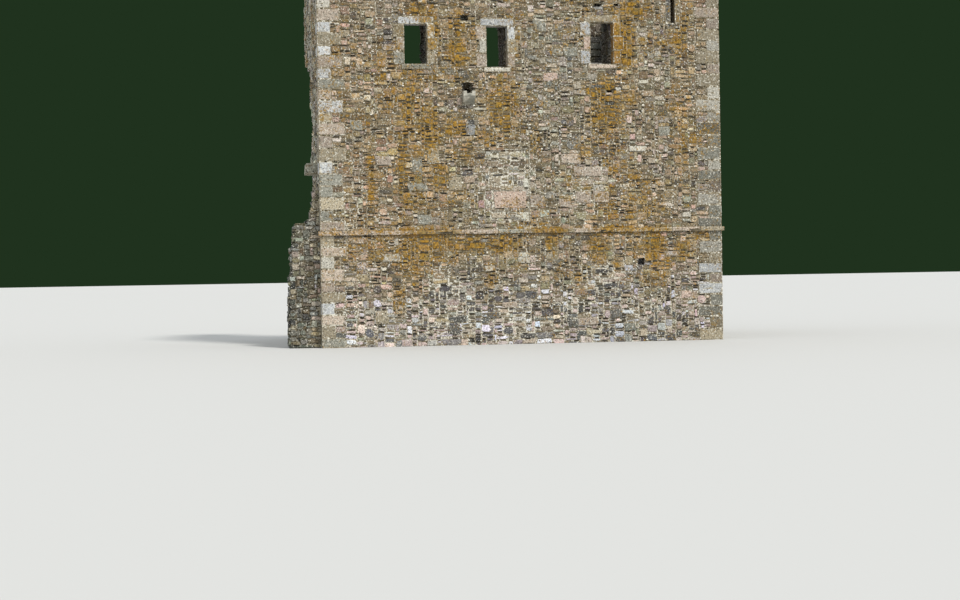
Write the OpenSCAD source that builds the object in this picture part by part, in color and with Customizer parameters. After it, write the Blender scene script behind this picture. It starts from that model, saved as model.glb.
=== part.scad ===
// A ruined rectangular keep: rubble walls with dressed corners and windows,
// broken down at the left and the back, over a cellar with a barrel vault.
// The front faces -Y. Lengths are in millimetres.

/* [Tower] */
// Width of the front, corner to corner
keep_w = 10000; // [9600:100:10800]
// Depth, from the front face to the back face
keep_d = 7600; // [7400:100:8200]
// Level of the first floor, on top of the cellar vault
hall_level = 2800; // [2780:10:2840]
// Level of the second floor
upper_level = 5900; // [5850:10:5900]
// Level of the garret floor
head_level = 9000; // [8950:10:9050]

/* [Walls] */
// Thickness of the front wall at the ground
front_t = 1600; // [1500:50:1700]
// Thickness of the two flank walls at the ground
flank_t = 1300; // [1200:50:1350]
// Thickness of the back wall at the ground
back_t = 1450; // [1350:50:1500]
// Width of the ledge that each floor leaves inside
scarcement = 150; // [100:10:160]
// How far the stones of a broken edge step in and out
rough = 110; // [60:10:120]
// Usual length of a stone on a broken edge
edge_stone = 520; // [450:10:600]
// Least and greatest amount that the bond stones of the flanks and the back stand out
bond_out = [24, 44]; // [20:2:60]
// How deep the facing of the left flank has fallen away at mid height
robbed = 110; // [70:5:130]

/* [Corner stones] */
// Usual height of a corner stone
quoin_h = 285; // [270:5:320]
// Length of the long side of a corner stone
quoin_long = 560; // [500:10:600]
// Length of its short side
quoin_short = 300; // [260:10:320]
// How far dressed stones stand out from the rubble's bed
proud = 20; // [10:5:30]

/* [String course] */
// Level of its underside
string_z = 2740; // [2720:5:2755]
// Height of its face
string_h = 90; // [85:5:110]
// How far it stands out from the wall
string_out = 75; // [60:5:90]

/* [Windows] */
// Depth of the dressed stones round an opening
dress_d = 280; // [240:10:320]
// Height of a window lintel
lintel_h = 180; // [150:10:200]
// Height of a window sill
sill_h = 110; // [90:10:130]
// Long and short widths of the stones beside an opening
jamb_long = 260; // [240:10:280]
jamb_short = 180; // [160:10:200]
// How much higher the opening is behind its lintel
soffit_rise = 250; // [200:10:280]

/* [Doorway] */
// Width of the doorway to the cellar
door_w = 950; // [850:10:1000]
// Height at which the arch of the doorway springs
door_spring = 1450; // [1400:10:1500]
// Depth of the ring of arch stones, seen from the front
arch_ring = 260; // [220:10:280]
// How much wider the passage is behind the doorway's stones, on each side
rebate = 75; // [50:5:90]

/* [Vault] */
// Height at which the cellar vault springs
vault_spring = 1000; // [950:10:1050]
// Height of the underside of the vault at its crown
vault_crown = 2450; // [2430:10:2480]
// Number of stone rows across the vault
vault_rows = 13; // [11:2:15]
// Width of the open joints between the rows
row_joint = 16; // [10:2:24]

/* [Hidden] */
$fn = 64;

half_w = keep_w / 2;
half_d = keep_d / 2;
eps = 20;
clear = 120;
leaf_share = [0, 0.3, 0.68, 1];

rubble_color = [0.56, 0.51, 0.43];
core_color = [0.45, 0.44, 0.38];
dressed_color = [0.75, 0.69, 0.64];
vault_color = [0.50, 0.47, 0.42];
earth_color = [0.38, 0.34, 0.28];

// Front openings: place across the front, sill level, width, height
front_windows = [
    [-0.2615 * keep_w, 6900, 570, 980],
    [-0.0605 * keep_w, 6820, 530, 1015],
    [0.2030 * keep_w, 6900, 580, 1040]
];
right_windows = [[200, 3950, 700, 1150], [100, 6880, 570, 1000]];
back_windows = [[0.2800 * keep_w, 6880, 570, 1000]];
slit = [half_w - 1160, 7920, 120, 680];
blocked_door = [-0.0400 * keep_w, 3030, 1100, 1760];
blocked_loop = [-0.2100 * keep_w, 1510, 360, 520];
spout = [-0.1345 * keep_w, 5910, 290, 310];
door_y = 0;

// Pale stone that stands out above the left window
pale_stone = [-0.2445 * keep_w, 8370, 190, 105, 110];
// Long stone that stands out of the left flank, beside the corner
tie_stone = [2880, 4270, 330, 230, 310];

// Larger stones of the front that stand out a little: place across, level, width, height, how far
face_stones = [
    [-1300, 5160, 200, 260, 22], [-2225, 4460, 250, 360, 24], [-2640, 4220, 220, 360, 18],
    [-2640, 3790, 440, 170, 20], [-1700, 3820, 300, 300, 18], [-2470, 2960, 300, 220, 20],
    [-3470, 4460, 340, 200, 22], [-4110, 5320, 260, 220, 18], [1200, 4460, 480, 220, 26],
    [1630, 4140, 700, 220, 22], [1490, 3480, 380, 240, 24], [1950, 3480, 380, 260, 20],
    [2890, 4730, 420, 110, 24], [340, 3380, 320, 260, 20], [1040, 3370, 280, 190, 22],
    [3570, 5140, 260, 200, 18], [-3260, 7240, 320, 130, 20], [1220, 7120, 320, 200, 24],
    [890, 7100, 220, 160, 20], [470, 7680, 300, 240, 24], [-3310, 2090, 380, 190, 20],
    [-4180, 2540, 320, 150, 20], [-20, 1990, 270, 130, 20], [-890, 1820, 180, 120, 24],
    [-1610, 590, 260, 130, 22], [-1790, 280, 260, 200, 26], [1190, 400, 260, 200, 26],
    [2280, 610, 280, 190, 26], [-800, 670, 280, 130, 24], [1600, 460, 460, 160, 22],
    [-3570, 590, 300, 170, 20], [-390, 900, 340, 120, 20]
];

// Sockets left by scaffold beams and fallen stones: place, level, width, height
sockets = [
    [0.2200 * keep_w, 6140, 190, 130],
    [0.1900 * keep_w, 6340, 260, 60],
    [0.2430 * keep_w, 6260, 170, 80],
    [0.2200 * keep_w, 5920, 220, 60],
    [0.1930 * keep_w, 8280, 240, 120],
    [0.2420 * keep_w, 8310, 160, 90],
    [0.2950 * keep_w, 1880, 200, 200],
    [0.3250 * keep_w, 2540, 380, 50],
    [-0.1420 * keep_w, 7930, 220, 180],
    [-0.2450 * keep_w, 6610, 300, 50],
    [-0.2900 * keep_w, 6470, 400, 45],
    [-0.0980 * keep_w, 2560, 180, 70]
];
socket_d = 260;

// Where the masonry stops. Front and flank tops go along the wall, broken ends go up it
front_top = [[-half_w, 10250], [-3000, 10700], [-1200, 10450], [300, 9950], [1700, 10500],
             [3300, 11050], [half_w, 10850]];
right_top = [[-half_d, 10850], [-1200, 10750], [600, 10150], [1800, 10300], [half_d, 10650]];
left_top = [[-half_d, 10250], [-1500, 10150], [-300, 9750], [700, 9400], [1400, 9150]];
back_top = [[1900, 8850], [2600, 9400], [3600, 10150], [half_w, 10650]];
back_low_top = [[-half_w, 1900], [-4000, 1350], [-2800, 1150], [-1800, 1700], [-900, 2450], [-500, 2620]];
left_low_top = [[1300, 2660], [1900, 2450], [half_d, 1950]];
left_end = [[2800, 1150], [3900, 1250], [4100, 800], [4900, 1450], [5350, 800], [5700, 450],
            [6300, 1300], [6750, 1550], [7000, 1150], [7500, 1750], [8200, 1850], [9000, 1500]];
robbed_foot = [[-3200, 4000], [-2350, 3980], [-2100, 3250], [-900, 3000], [2600, 2950]];
robbed_head = [[-3200, 6550], [-2300, 6750], [-1200, 6800], [-300, 7200], [2600, 7700]];
back_end = [[2800, -350], [3600, 150], [4500, 600], [5900, 950], [6600, 1150], [7500, 1400],
            [8400, 1700], [8900, 1950]];
left_end_top = 9000;
left_end_y = 1290;
back_end_top = 8800;
back_end_x = 2206;
back_break = -500;
left_break = 1300;

stub_out = 760;
stub_y = [-3420, -2440];
string_bed_d = 150;

vault_y = [-half_d + front_t, half_d - back_t];
vault_mid = (vault_y[0] + vault_y[1]) / 2;
vault_half = (vault_y[1] - vault_y[0]) / 2;
vault_rise = vault_crown - vault_spring;
vault_r = (vault_half * vault_half + vault_rise * vault_rise) / (2 * vault_rise);
vault_axis_z = vault_crown - vault_r;
vault_foot = atan2(vault_spring - vault_axis_z, vault_half);
floor_h = 100;

corbel_out = 280;
corbel_h = 260;
corbel_w = 240;
corbel_tail = 250;
corbel_top = 5600;

// Inner faces of the walls, which step back at each floor
function front_in(storey) = -half_d + front_t - storey * scarcement;
function back_in(storey) = half_d - back_t + storey * scarcement;
function flank_in(storey) = half_w - flank_t + storey * scarcement;

// n + 1 joints from a to b, the inner ones shifted by chance
function joints(a, b, n, seed) =
    let (shift = rands(-0.28, 0.28, n + 1, seed))
    [for (i = [0:n]) a + (b - a) * (i + (i == 0 || i == n ? 0 : shift[i])) / n];

// Keeps the joints of the leaves apart from each other and from those of the corners
function grid(v, leaf) = 12 * round(v / 12) + 4 * leaf;

// Levels of the broken stones about a guide line, no two neighbours alike
function levels(at, guide, leaf, seed) =
    let (
        n = len(at) - 1,
        step = rands(-rough, rough, n, seed),
        raw = [for (i = [0:n - 1]) grid(lookup((at[i] + at[i + 1]) / 2, guide) + step[i], leaf)]
    )
    [for (i = 0, v = raw[0]; i < n; i = i + 1, v = i < n ? (raw[i] == v ? v + 24 : raw[i]) : 0) v];

// Joints along a broken edge from a to b
function edge_joints(a, b, stone, leaf, seed) =
    let (n = ceil(abs(b - a) / stone), at = joints(a, b, n, seed))
    [for (i = [0:n]) i == 0 ? a : i == n ? b : grid(at[i], leaf)];

// A broken wall head from a to b: flat stone tops that step about a guide line
function ragged_top(a, b, guide, leaf, seed) =
    let (
        at = edge_joints(a, b, edge_stone, leaf, seed + leaf),
        v = levels(at, guide, leaf, seed + leaf + 100)
    )
    [for (i = [0:len(v) - 1], end = [0, 1]) [at[i + end], v[i]]];

// A broken wall end from level a to level b, in courses that step about a guide line
function ragged_end(a, b, guide, leaf, seed) =
    let (
        at = edge_joints(a, b, edge_stone / 1.6, leaf, seed + leaf),
        v = levels(at, guide, leaf, seed + leaf + 100)
    )
    [for (i = [0:len(v) - 1], end = [0, 1]) [v[i], at[i + end]]];

// Bond stones of a wall, one to a field: place across the wall, level, width, height, how far out
function bonds(a, b, low, high, out, seed) =
    let (
        nx = max(1, floor((b - a) / 860)),
        nz = max(1, floor((high - low) / 740)),
        r = rands(0, 1, 5 * nx * nz, seed)
    )
    [for (j = [0:nz - 1], i = [0:nx - 1])
        let (k = 5 * (j * nx + i))
        [
            round(a + (b - a) / nx * (i + 0.5) + 300 * (r[k] - 0.5)),
            round(low + (high - low) / nz * (j + 0.5) + 300 * (r[k + 1] - 0.5)),
            2 * round(130 + 110 * r[k + 2]), round(100 + 80 * r[k + 3]),
            round(out[0] + (out[1] - out[0]) * r[k + 4])
        ]];

// The larger stones of the front between two levels
function facing(low, high) = [for (s = face_stones) if (s[1] >= low && s[1] < high) s];

// True where a bond stone keeps clear of every zone: from, to, low, high
function keeps_clear(bond, zones) =
    len([for (q = zones)
        if (bond[0] + bond[2] / 2 > q[0] && bond[0] - bond[2] / 2 < q[1] &&
            bond[1] + bond[3] > q[2] && bond[1] < q[3]) 1]) == 0;

// The zone that an opening and its dressed stones take
function zone(window) =
    [window[0] - window[2] / 2 - 330, window[0] + window[2] / 2 + 330, window[1] - 170,
     window[1] + window[3] + lintel_h + 60];

// Turns an outline in x and z into a slab between two y planes
module slab_x(y0, y1)
    translate([0, max(y0, y1), 0]) rotate([90, 0, 0]) linear_extrude(abs(y1 - y0)) children();

// Turns an outline in y and z into a slab between two x planes
module slab_y(x0, x1)
    translate([min(x0, x1), 0, 0]) rotate([90, 0, 90]) linear_extrude(abs(x1 - x0)) children();

// A wall across x or y in three leaves, each with its own broken outline
module leaves_x(y_out, y_in, outlines)
    for (i = [0:2])
        slab_x(y_out + (y_in - y_out) * leaf_share[i], y_out + (y_in - y_out) * leaf_share[i + 1])
            polygon(outlines[i]);

module leaves_y(x_out, x_in, outlines)
    for (i = [0:2])
        slab_y(x_out + (x_in - x_out) * leaf_share[i], x_out + (x_in - x_out) * leaf_share[i + 1])
            polygon(outlines[i]);

// A box from its two corners
module span(low, high) translate(low) cube(high - low);

// Places an opening on a wall: x goes across the wall and y into it
module on_front(x) translate([x, -half_d, 0]) children();
module on_right(y) translate([half_w, y, 0]) rotate([0, 0, 90]) children();
module on_back(x) translate([x, half_d, 0]) rotate([0, 0, 180]) children();
module on_left(y) translate([-half_w, y, 0]) rotate([0, 0, -90]) children();

// Bond stones that stand out of the face of a wall, tailed into it
module bond_stones(list, zones = [])
    for (b = list)
        if (keeps_clear(b, zones))
            span([b[0] - b[2] / 2, -b[4], b[1]], [b[0] + b[2] / 2, 180, b[1] + b[3]]);

// The fallen facing of the left flank, with a stepped outline
module robbed_facing()
    slab_y(-half_w - eps, -half_w + robbed)
        translate([10, 10])
            polygon(concat(
                ragged_top(-3210, 2610, robbed_foot, 0, 81),
                ragged_top(2610, -3210, robbed_head, 0, 83)
            ));

// Levels of the joints up a corner, from the ground to its broken top
function corner_joints(top, seed) =
    let (
        n = round(top / quoin_h),
        share = rands(0.85, 1.15, n, seed),
        whole = share * [for (s = share) 1]
    )
    [for (i = 0, z = 0; i <= n; z = z + (i < n ? top * share[i] / whole : 0), i = i + 1)
        i == 0 ? 0 : grid(z, 0) + 2];

// Dressed corner stones between two levels, long and short by turns round the corner
module quoins(side_x, side_y, top, seed, low = 0, high = 20000) {
    at = corner_joints(top, seed);
    extra = rands(-60, 60, len(at), seed + 1);
    for (i = [0:len(at) - 2])
        if (at[i + 1] > low && at[i] < high) {
            long = grid(quoin_long + extra[i], 0) + 6;
            short = grid(quoin_short, 0) + 6;
            size_x = i % 2 == 0 ? long : short;
            size_y = i % 2 == 0 ? short : long;
            translate([
                side_x > 0 ? half_w - size_x : -half_w - proud,
                side_y > 0 ? half_d - size_y : -half_d - proud,
                at[i]
            ])
                cube([size_x + proud, size_y + proud, at[i + 1] - at[i]]);
        }
}
module front_left_stones(low = 0, high = 20000) quoins(-1, -1, 10150, 11, low, high);
module front_right_stones(low = 0, high = 20000) quoins(1, -1, 10760, 12, low, high);
module back_right_stones(low = 0, high = 20000) quoins(1, 1, 10540, 13, low, high);
module back_left_stones() quoins(-1, 1, 1720, 14);

// The bed that the string course is let into
module string_bed() {
    z0 = string_z;
    z1 = string_z + string_h;
    d = string_bed_d;
    span([-half_w - clear, -half_d - clear, z0], [half_w + clear, -half_d + d, z1]);
    span([half_w - d, -half_d + d, z0], [half_w + clear, half_d - d, z1]);
    span([-half_w - clear, stub_y[1], z0], [-half_w + d, left_break, z1]);
    span([back_break, half_d - d, z0], [half_w + clear, half_d + clear, z1]);
}

// Section of the string course: a sloped top over a square lower edge
module string_section()
    polygon([
        [string_bed_d, string_z], [string_bed_d, string_z + string_h], [-proud, string_z + string_h],
        [-string_out, string_z + string_h - 40], [-string_out, string_z]
    ]);

module window_lintel(window)
    span(
        [-window[2] / 2 - 150, -proud, window[1] + window[3]],
        [window[2] / 2 + 150, dress_d, window[1] + window[3] + lintel_h]
    );

module window_sill(window)
    span([-window[2] / 2 - 70, -2 * proud, window[1] - sill_h], [window[2] / 2 + 70, dress_d, window[1]]);

// Dressed stones up one side of an opening, long and short by turns
module jamb(width, low, height, side, stones)
    for (i = [0:stones - 1]) {
        stone = (i + (side > 0 ? 1 : 0)) % 2 == 0 ? jamb_long : jamb_short;
        translate([side > 0 ? width / 2 : -width / 2 - stone, -proud, low + height * i / stones])
            cube([stone, dress_d + proud, height / stones + (i < stones - 1 ? 1 : 0)]);
    }

module window_jambs(window)
    for (side = [-1, 1]) jamb(window[2], window[1], window[3], side, 3);

// What a window takes out of a wall: its dressed stones, its opening and the embrasure behind
module window_cut(window, wall) {
    w = window[2];
    window_lintel(window);
    window_sill(window);
    window_jambs(window);
    span([-w / 2, -eps, window[1]], [w / 2, dress_d + 1, window[1] + window[3]]);
    span([-w / 2, dress_d, window[1]], [w / 2, wall + eps, window[1] + window[3] + soffit_rise]);
}

module slit_frame_block()
    span([-slit[2] / 2 - 120, -proud, slit[1] - 110], [slit[2] / 2 + 120, dress_d, slit[1] + slit[3] + 130]);

module slit_opening(depth)
    span([-slit[2] / 2, -clear, slit[1]], [slit[2] / 2, depth, slit[1] + slit[3]]);

// The slit widens inwards, more on the side away from the flank wall
module slit_cut(wall) {
    slit_frame_block();
    translate([0, 0, slit[1]])
        linear_extrude(slit[3] + 150)
            polygon([
                [-slit[2] / 2, dress_d - 1], [slit[2] / 2, dress_d - 1],
                [95, wall + eps], [-440, wall + eps]
            ]);
}

module socket_cuts()
    for (s = sockets)
        on_front(s[0]) span([-s[2] / 2, -eps, s[1]], [s[2] / 2, socket_d, s[1] + s[3]]);

// The drain: a hole through the wall over a spout stone that is tailed into it
module drain_cut(wall)
    on_front(spout[0]) {
        span([-spout[2] / 2, -eps, spout[1]], [spout[2] / 2, 350, spout[1] + spout[3]]);
        span([-spout[2] / 2, -eps, spout[1] + spout[3] - 1], [spout[2] / 2, 300, spout[1] + spout[3] + 235]);
        span([-90, 290, spout[1] + spout[3] - 1], [90, wall + eps, spout[1] + spout[3] + 120]);
    }

module corbels(places, wall_y, inward)
    for (x = places)
        translate([x - corbel_w / 2, wall_y, 0]) {
            span(
                [0, inward > 0 ? -corbel_tail : 0, corbel_top - corbel_h],
                [corbel_w, inward > 0 ? 0 : corbel_tail, corbel_top]
            );
            intersection() {
                span(
                    [0, inward > 0 ? -1 : -corbel_out, corbel_top - corbel_h],
                    [corbel_w, inward > 0 ? corbel_out : 1, corbel_top]
                );
                translate([0, 0, corbel_top]) rotate([0, 90, 0]) cylinder(r = corbel_out, h = corbel_w);
            }
        }
module front_corbels() corbels([-3200, -1600, 0, 1600, 3200], front_in(1), 1);
module back_corbels() corbels([1900, 3300], back_in(1), -1);

// Front wall

module front_wall_ground()
    color(rubble_color) {
        difference() {
            span([-half_w, -half_d, 0], [half_w, front_in(0), hall_level]);
            front_left_stones(0, hall_level);
            front_right_stones(0, hall_level);
            string_bed();
            socket_cuts();
            on_front(blocked_loop[0]) loop_block(0);
        }
        on_front(0) bond_stones(facing(0, hall_level));
    }

module front_wall_hall()
    color(rubble_color) {
        difference() {
            span([-half_w, -half_d, hall_level], [half_w, front_in(1), upper_level]);
            front_left_stones(hall_level, upper_level);
            front_right_stones(hall_level, upper_level);
            string_bed();
            robbed_facing();
            on_front(blocked_door[0]) {
                door_block(0, 601);
                span(
                    [-blocked_door[2] / 2 - 100, 600, blocked_door[1]],
                    [blocked_door[2] / 2 + 100, front_t, blocked_door[1] + blocked_door[3] + soffit_rise]
                );
            }
            front_corbels();
        }
        on_left(0) bond_stones([tie_stone]);
        on_front(0) bond_stones(facing(hall_level, upper_level));
    }

module front_wall_upper()
    color(rubble_color) {
        difference() {
            span([-half_w, -half_d, upper_level], [half_w, front_in(2), head_level]);
            front_left_stones(upper_level, head_level);
            front_right_stones(upper_level, head_level);
            for (window = front_windows) on_front(window[0]) window_cut(window, front_t);
            on_front(slit[0]) slit_cut(front_t - 2 * scarcement);
            drain_cut(front_t);
            socket_cuts();
            robbed_facing();
        }
        on_front(0) bond_stones(concat([pale_stone], facing(upper_level, head_level)));
    }

module front_wall_head()
    color(rubble_color)
        difference() {
            leaves_x(-half_d, front_in(2), [
                for (leaf = [0:2])
                    concat([[half_w, head_level], [-half_w, head_level]],
                           ragged_top(-half_w, half_w, front_top, leaf, 21))
            ]);
            front_left_stones(head_level);
            front_right_stones(head_level);
        }

// Right flank

module right_wall_ground()
    color(rubble_color) {
        difference() {
            span([flank_in(0), front_in(0), 0], [half_w, back_in(0), hall_level]);
            string_bed();
            on_right(door_y) door_cut();
        }
        on_right(0)
            bond_stones(
                bonds(front_in(0), back_in(0), 120, 2680, bond_out, 91),
                [[door_y - 860, door_y + 860, 0, 2400]]
            );
    }

module right_wall_hall()
    color(rubble_color) {
        difference() {
            span([flank_in(1), front_in(1), hall_level], [half_w, back_in(1), upper_level]);
            string_bed();
            on_right(right_windows[0][0]) window_cut(right_windows[0], flank_t);
        }
        on_right(0)
            bond_stones(
                bonds(front_in(1), back_in(1), 2880, 5860, bond_out, 92),
                [zone(right_windows[0])]
            );
    }

module right_wall_upper()
    color(rubble_color) {
        difference() {
            span([flank_in(2), front_in(2), upper_level], [half_w, back_in(2), head_level]);
            on_right(right_windows[1][0]) window_cut(right_windows[1], flank_t);
        }
        on_right(0)
            bond_stones(
                bonds(front_in(2), back_in(2), 5940, 8960, bond_out, 93),
                [zone(right_windows[1])]
            );
    }

module right_wall_head()
    color(rubble_color)
        leaves_y(half_w, flank_in(2), [
            for (leaf = [0:2])
                concat([[back_in(2), head_level], [front_in(2), head_level]],
                       ragged_top(front_in(2), back_in(2), right_top, leaf, 31))
        ]);

// Left flank, broken down towards the back

module left_wall_ground()
    color(rubble_color) {
        difference() {
            leaves_y(-half_w, -flank_in(0), [
                for (leaf = [0:2])
                    concat(
                        [[back_in(0), 0], [front_in(0), 0], [front_in(0), hall_level],
                         [left_break, hall_level]],
                        ragged_top(left_break, back_in(0), left_low_top, leaf, 41)
                    )
            ]);
            string_bed();
        }
        on_left(0) bond_stones(bonds(-1100, -front_in(0), 120, 2680, bond_out, 94));
    }

// Keeps the stones that the broken end of the left flank still holds
function left_bonds(list) =
    [for (b = list) if (-b[0] + b[2] / 2 + 220 < lookup(b[1] + b[3] / 2, left_end)) b];

module left_wall_hall()
    color(rubble_color) {
        difference() {
            leaves_y(-half_w, -flank_in(1), [
                for (leaf = [0:2])
                    concat([[front_in(1), upper_level], [front_in(1), hall_level]],
                           ragged_end(hall_level, upper_level, left_end, leaf, 44))
            ]);
            string_bed();
            robbed_facing();
        }
        on_left(0) bond_stones(left_bonds(bonds(-900, -front_in(1), 3400, 5860, [-75, -20], 95)));
    }

module left_wall_upper()
    color(rubble_color) {
        difference() {
            leaves_y(-half_w, -flank_in(2), [
                for (leaf = [0:2])
                    concat([[front_in(2), upper_level]],
                           ragged_end(upper_level, left_end_top, left_end, leaf, 47),
                           [[left_end_y, left_end_top]],
                           ragged_top(left_end_y, front_in(2), left_top, leaf, 50))
            ]);
            robbed_facing();
        }
        on_left(0) bond_stones(left_bonds(bonds(-1700, -front_in(2), 7850, 8960, bond_out, 96)));
        on_left(0) bond_stones(left_bonds(bonds(-900, -front_in(2), 5930, 6640, [-75, -20], 97)));
    }

// Back wall, whole at the right corner and a stump at the left one

module back_wall_ground()
    color(rubble_color) {
        difference() {
            leaves_x(half_d, back_in(0), [
                for (leaf = [0:2])
                    concat(
                        [[-half_w, 0], [half_w, 0], [half_w, hall_level], [back_break, hall_level]],
                        ragged_top(back_break, -half_w, back_low_top, leaf, 61)
                    )
            ]);
            back_right_stones(0, hall_level);
            back_left_stones();
            string_bed();
        }
        on_back(0) bond_stones(bonds(-4340, 400, 120, 2680, bond_out, 98));
        on_back(0) bond_stones(bonds(500, 4250, 120, 900, bond_out, 99));
    }

// Keeps the stones that the broken end of the back wall still holds
function back_bonds(list) =
    [for (b = list) if (-b[0] - b[2] / 2 - 220 > lookup(b[1] + b[3] / 2, back_end)) b];

module back_wall_hall()
    color(rubble_color) {
        difference() {
            leaves_x(half_d, back_in(1), [
                for (leaf = [0:2])
                    concat([[half_w, hall_level], [half_w, upper_level]],
                           ragged_end(upper_level, hall_level, back_end, leaf, 64))
            ]);
            back_right_stones(hall_level, upper_level);
            string_bed();
            back_corbels();
        }
        on_back(0) bond_stones(back_bonds(bonds(-4340, 0, 2880, 5860, bond_out, 100)));
    }

module back_wall_upper()
    color(rubble_color) {
        difference() {
            leaves_x(half_d, back_in(2), [
                for (leaf = [0:2])
                    concat([[half_w, upper_level]],
                           ragged_top(half_w, back_end_x, back_top, leaf, 67),
                           [[back_end_x, back_end_top]],
                           ragged_end(back_end_top, upper_level, back_end, leaf, 70))
            ]);
            back_right_stones(upper_level);
            for (window = back_windows) on_back(window[0]) window_cut(window, back_t);
        }
        on_back(0)
            bond_stones(
                back_bonds(bonds(-4340, -1400, 5940, 8700, bond_out, 101)),
                [for (w = back_windows) zone([-w[0], w[1], w[2], w[3]])]
            );
    }

// Corners

module dressed_corner() color(dressed_color) difference() { children(); string_bed(); }
module front_left_quoins() dressed_corner() front_left_stones();
module front_right_quoins() dressed_corner() front_right_stones();
module back_right_quoins() dressed_corner() back_right_stones();
module back_left_quoins() dressed_corner() back_left_stones();

// String course

module front_string_course()
    color(dressed_color)
        translate([0, -half_d, 0]) slab_y(-half_w - string_out, half_w + string_out) string_section();

module right_string_course()
    color(dressed_color)
        translate([half_w, 0, 0])
            slab_x(-half_d + string_bed_d, half_d - string_bed_d) mirror([1, 0]) string_section();

module left_string_course()
    color(dressed_color)
        translate([-half_w, 0, 0]) slab_x(stub_y[1], left_break) string_section();

module back_string_course()
    color(dressed_color)
        translate([0, half_d, 0]) slab_y(back_break, half_w + string_out) mirror([1, 0]) string_section();

// Dressed stones of the windows

module front_window_lintels()
    color(dressed_color) for (window = front_windows) on_front(window[0]) window_lintel(window);
module front_window_sills()
    color(dressed_color) for (window = front_windows) on_front(window[0]) window_sill(window);
module front_window_jambs()
    color(dressed_color) for (window = front_windows) on_front(window[0]) window_jambs(window);
module right_window_lintels()
    color(dressed_color) for (window = right_windows) on_right(window[0]) window_lintel(window);
module right_window_sills()
    color(dressed_color) for (window = right_windows) on_right(window[0]) window_sill(window);
module right_window_jambs()
    color(dressed_color) for (window = right_windows) on_right(window[0]) window_jambs(window);
module back_window_lintel()
    color(dressed_color) for (window = back_windows) on_back(window[0]) window_lintel(window);
module back_window_sill()
    color(dressed_color) for (window = back_windows) on_back(window[0]) window_sill(window);
module back_window_jambs()
    color(dressed_color) for (window = back_windows) on_back(window[0]) window_jambs(window);

module slit_window_frame()
    color(dressed_color)
        on_front(slit[0])
            difference() {
                slit_frame_block();
                slit_opening(dress_d + eps);
            }

// Openings of the front that were walled up, their filling a little behind the face

module door_block(face, depth)
    span([-blocked_door[2] / 2, face, blocked_door[1]],
         [blocked_door[2] / 2, depth, blocked_door[1] + blocked_door[3]]);
module blocked_doorway_infill()
    color(rubble_color) on_front(blocked_door[0]) door_block(30, 600);

module loop_block(face)
    span([-blocked_loop[2] / 2, face, blocked_loop[1]],
         [blocked_loop[2] / 2, 400, blocked_loop[1] + blocked_loop[3]]);
module blocked_loop_infill()
    color(rubble_color) on_front(blocked_loop[0]) loop_block(25);

// Spout stone: a corbel with a rounded throat and a gutter cut along its top
module drain_spout()
    color(dressed_color)
        on_front(spout[0])
            difference() {
                translate([0, 0, spout[1]])
                    slab_y(-spout[2] / 2, spout[2] / 2)
                        polygon([[350, 0], [350, spout[3]], [-280, spout[3]], [-280, 190], [-240, 130],
                                 [-150, 60], [-60, 15], [0, 0]]);
                span([-65, -300, spout[1] + spout[3] - 60], [65, 360, spout[1] + spout[3] + eps]);
            }

// Doorway of the cellar, in the right flank

module arch_disc(radius, depth)
    translate([0, depth, door_spring]) rotate([90, 0, 0]) cylinder(r = radius, h = depth + clear);

module door_cut() {
    arch_disc(door_w / 2 + arch_ring, dress_d);
    for (side = [-1, 1]) jamb(door_w, 0, door_spring, side, 5);
    span([-door_w / 2, -eps, floor_h], [door_w / 2, dress_d + 1, door_spring]);
    span([-door_w / 2, -eps, 0], [door_w / 2, 450, floor_h + 1]);
    span([-door_w / 2 - rebate, dress_d, floor_h], [door_w / 2 + rebate, flank_t + eps, 2150]);
}

module doorway_arch() {
    stones = 7;
    joint = 8;
    color(dressed_color)
        on_right(door_y)
            difference() {
                translate([0, dress_d, door_spring])
                    rotate([90, 0, 0])
                        difference() {
                            cylinder(r = door_w / 2 + arch_ring, h = dress_d + proud);
                            translate([0, 0, -eps]) cylinder(r = door_w / 2, h = dress_d + clear);
                        }
                span([-door_w, -clear, door_spring - door_w], [door_w, dress_d + eps, door_spring]);
                for (i = [1:stones - 1])
                    translate([0, 0, door_spring])
                        rotate([0, -180 * i / stones, 0])
                            span([0, -clear, -joint / 2], [door_w, dress_d + eps, joint / 2]);
            }
}

module doorway_jambs()
    color(dressed_color) on_right(door_y) for (side = [-1, 1]) jamb(door_w, 0, door_spring, side, 5);

module doorway_threshold()
    color(dressed_color) on_right(door_y) span([-door_w / 2, 0, 0], [door_w / 2, 450, floor_h]);

// Cellar

// The barrel vault and the filling over it, whole at the right and fallen at the left.
// Its rows of stones break off one by one: the low ones run furthest
module cellar_vault() {
    lost = [-3700, -3250, -2300, -1500, -1050, -700, -250, -520, 150, -300, -900, -1700, -2500,
            -3100, -3400];
    turn = (180 - 2 * vault_foot) / vault_rows;
    color(vault_color)
        difference() {
            span([-flank_in(0), vault_y[0], vault_spring], [flank_in(0), vault_y[1], hall_level]);
            translate([-half_w, vault_mid, vault_axis_z])
                rotate([0, 90, 0]) cylinder(r = vault_r, h = keep_w, $fn = 128);
            for (i = [0:vault_rows - 1]) {
                from = i == 0 ? 5 : vault_foot + turn * i;
                to = i == vault_rows - 1 ? 175 : vault_foot + turn * (i + 1);
                translate([0, vault_mid, vault_axis_z])
                    slab_y(-half_w, lost[i])
                        polygon([
                            [0, 0], 2 * keep_d * [-cos(from), sin(from)], 2 * keep_d * [-cos(to), sin(to)]
                        ]);
            }
            for (i = [1:vault_rows - 1])
                translate([-half_w, vault_mid, vault_axis_z])
                    rotate([-vault_foot - turn * i, 0, 0])
                        span([0, -vault_r - 45, -row_joint / 2], [keep_w, -vault_r + 45, row_joint / 2]);
        }
}

module cellar_floor()
    color(earth_color) span([-flank_in(0), front_in(0), 0], [flank_in(0), back_in(0), floor_h]);

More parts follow.
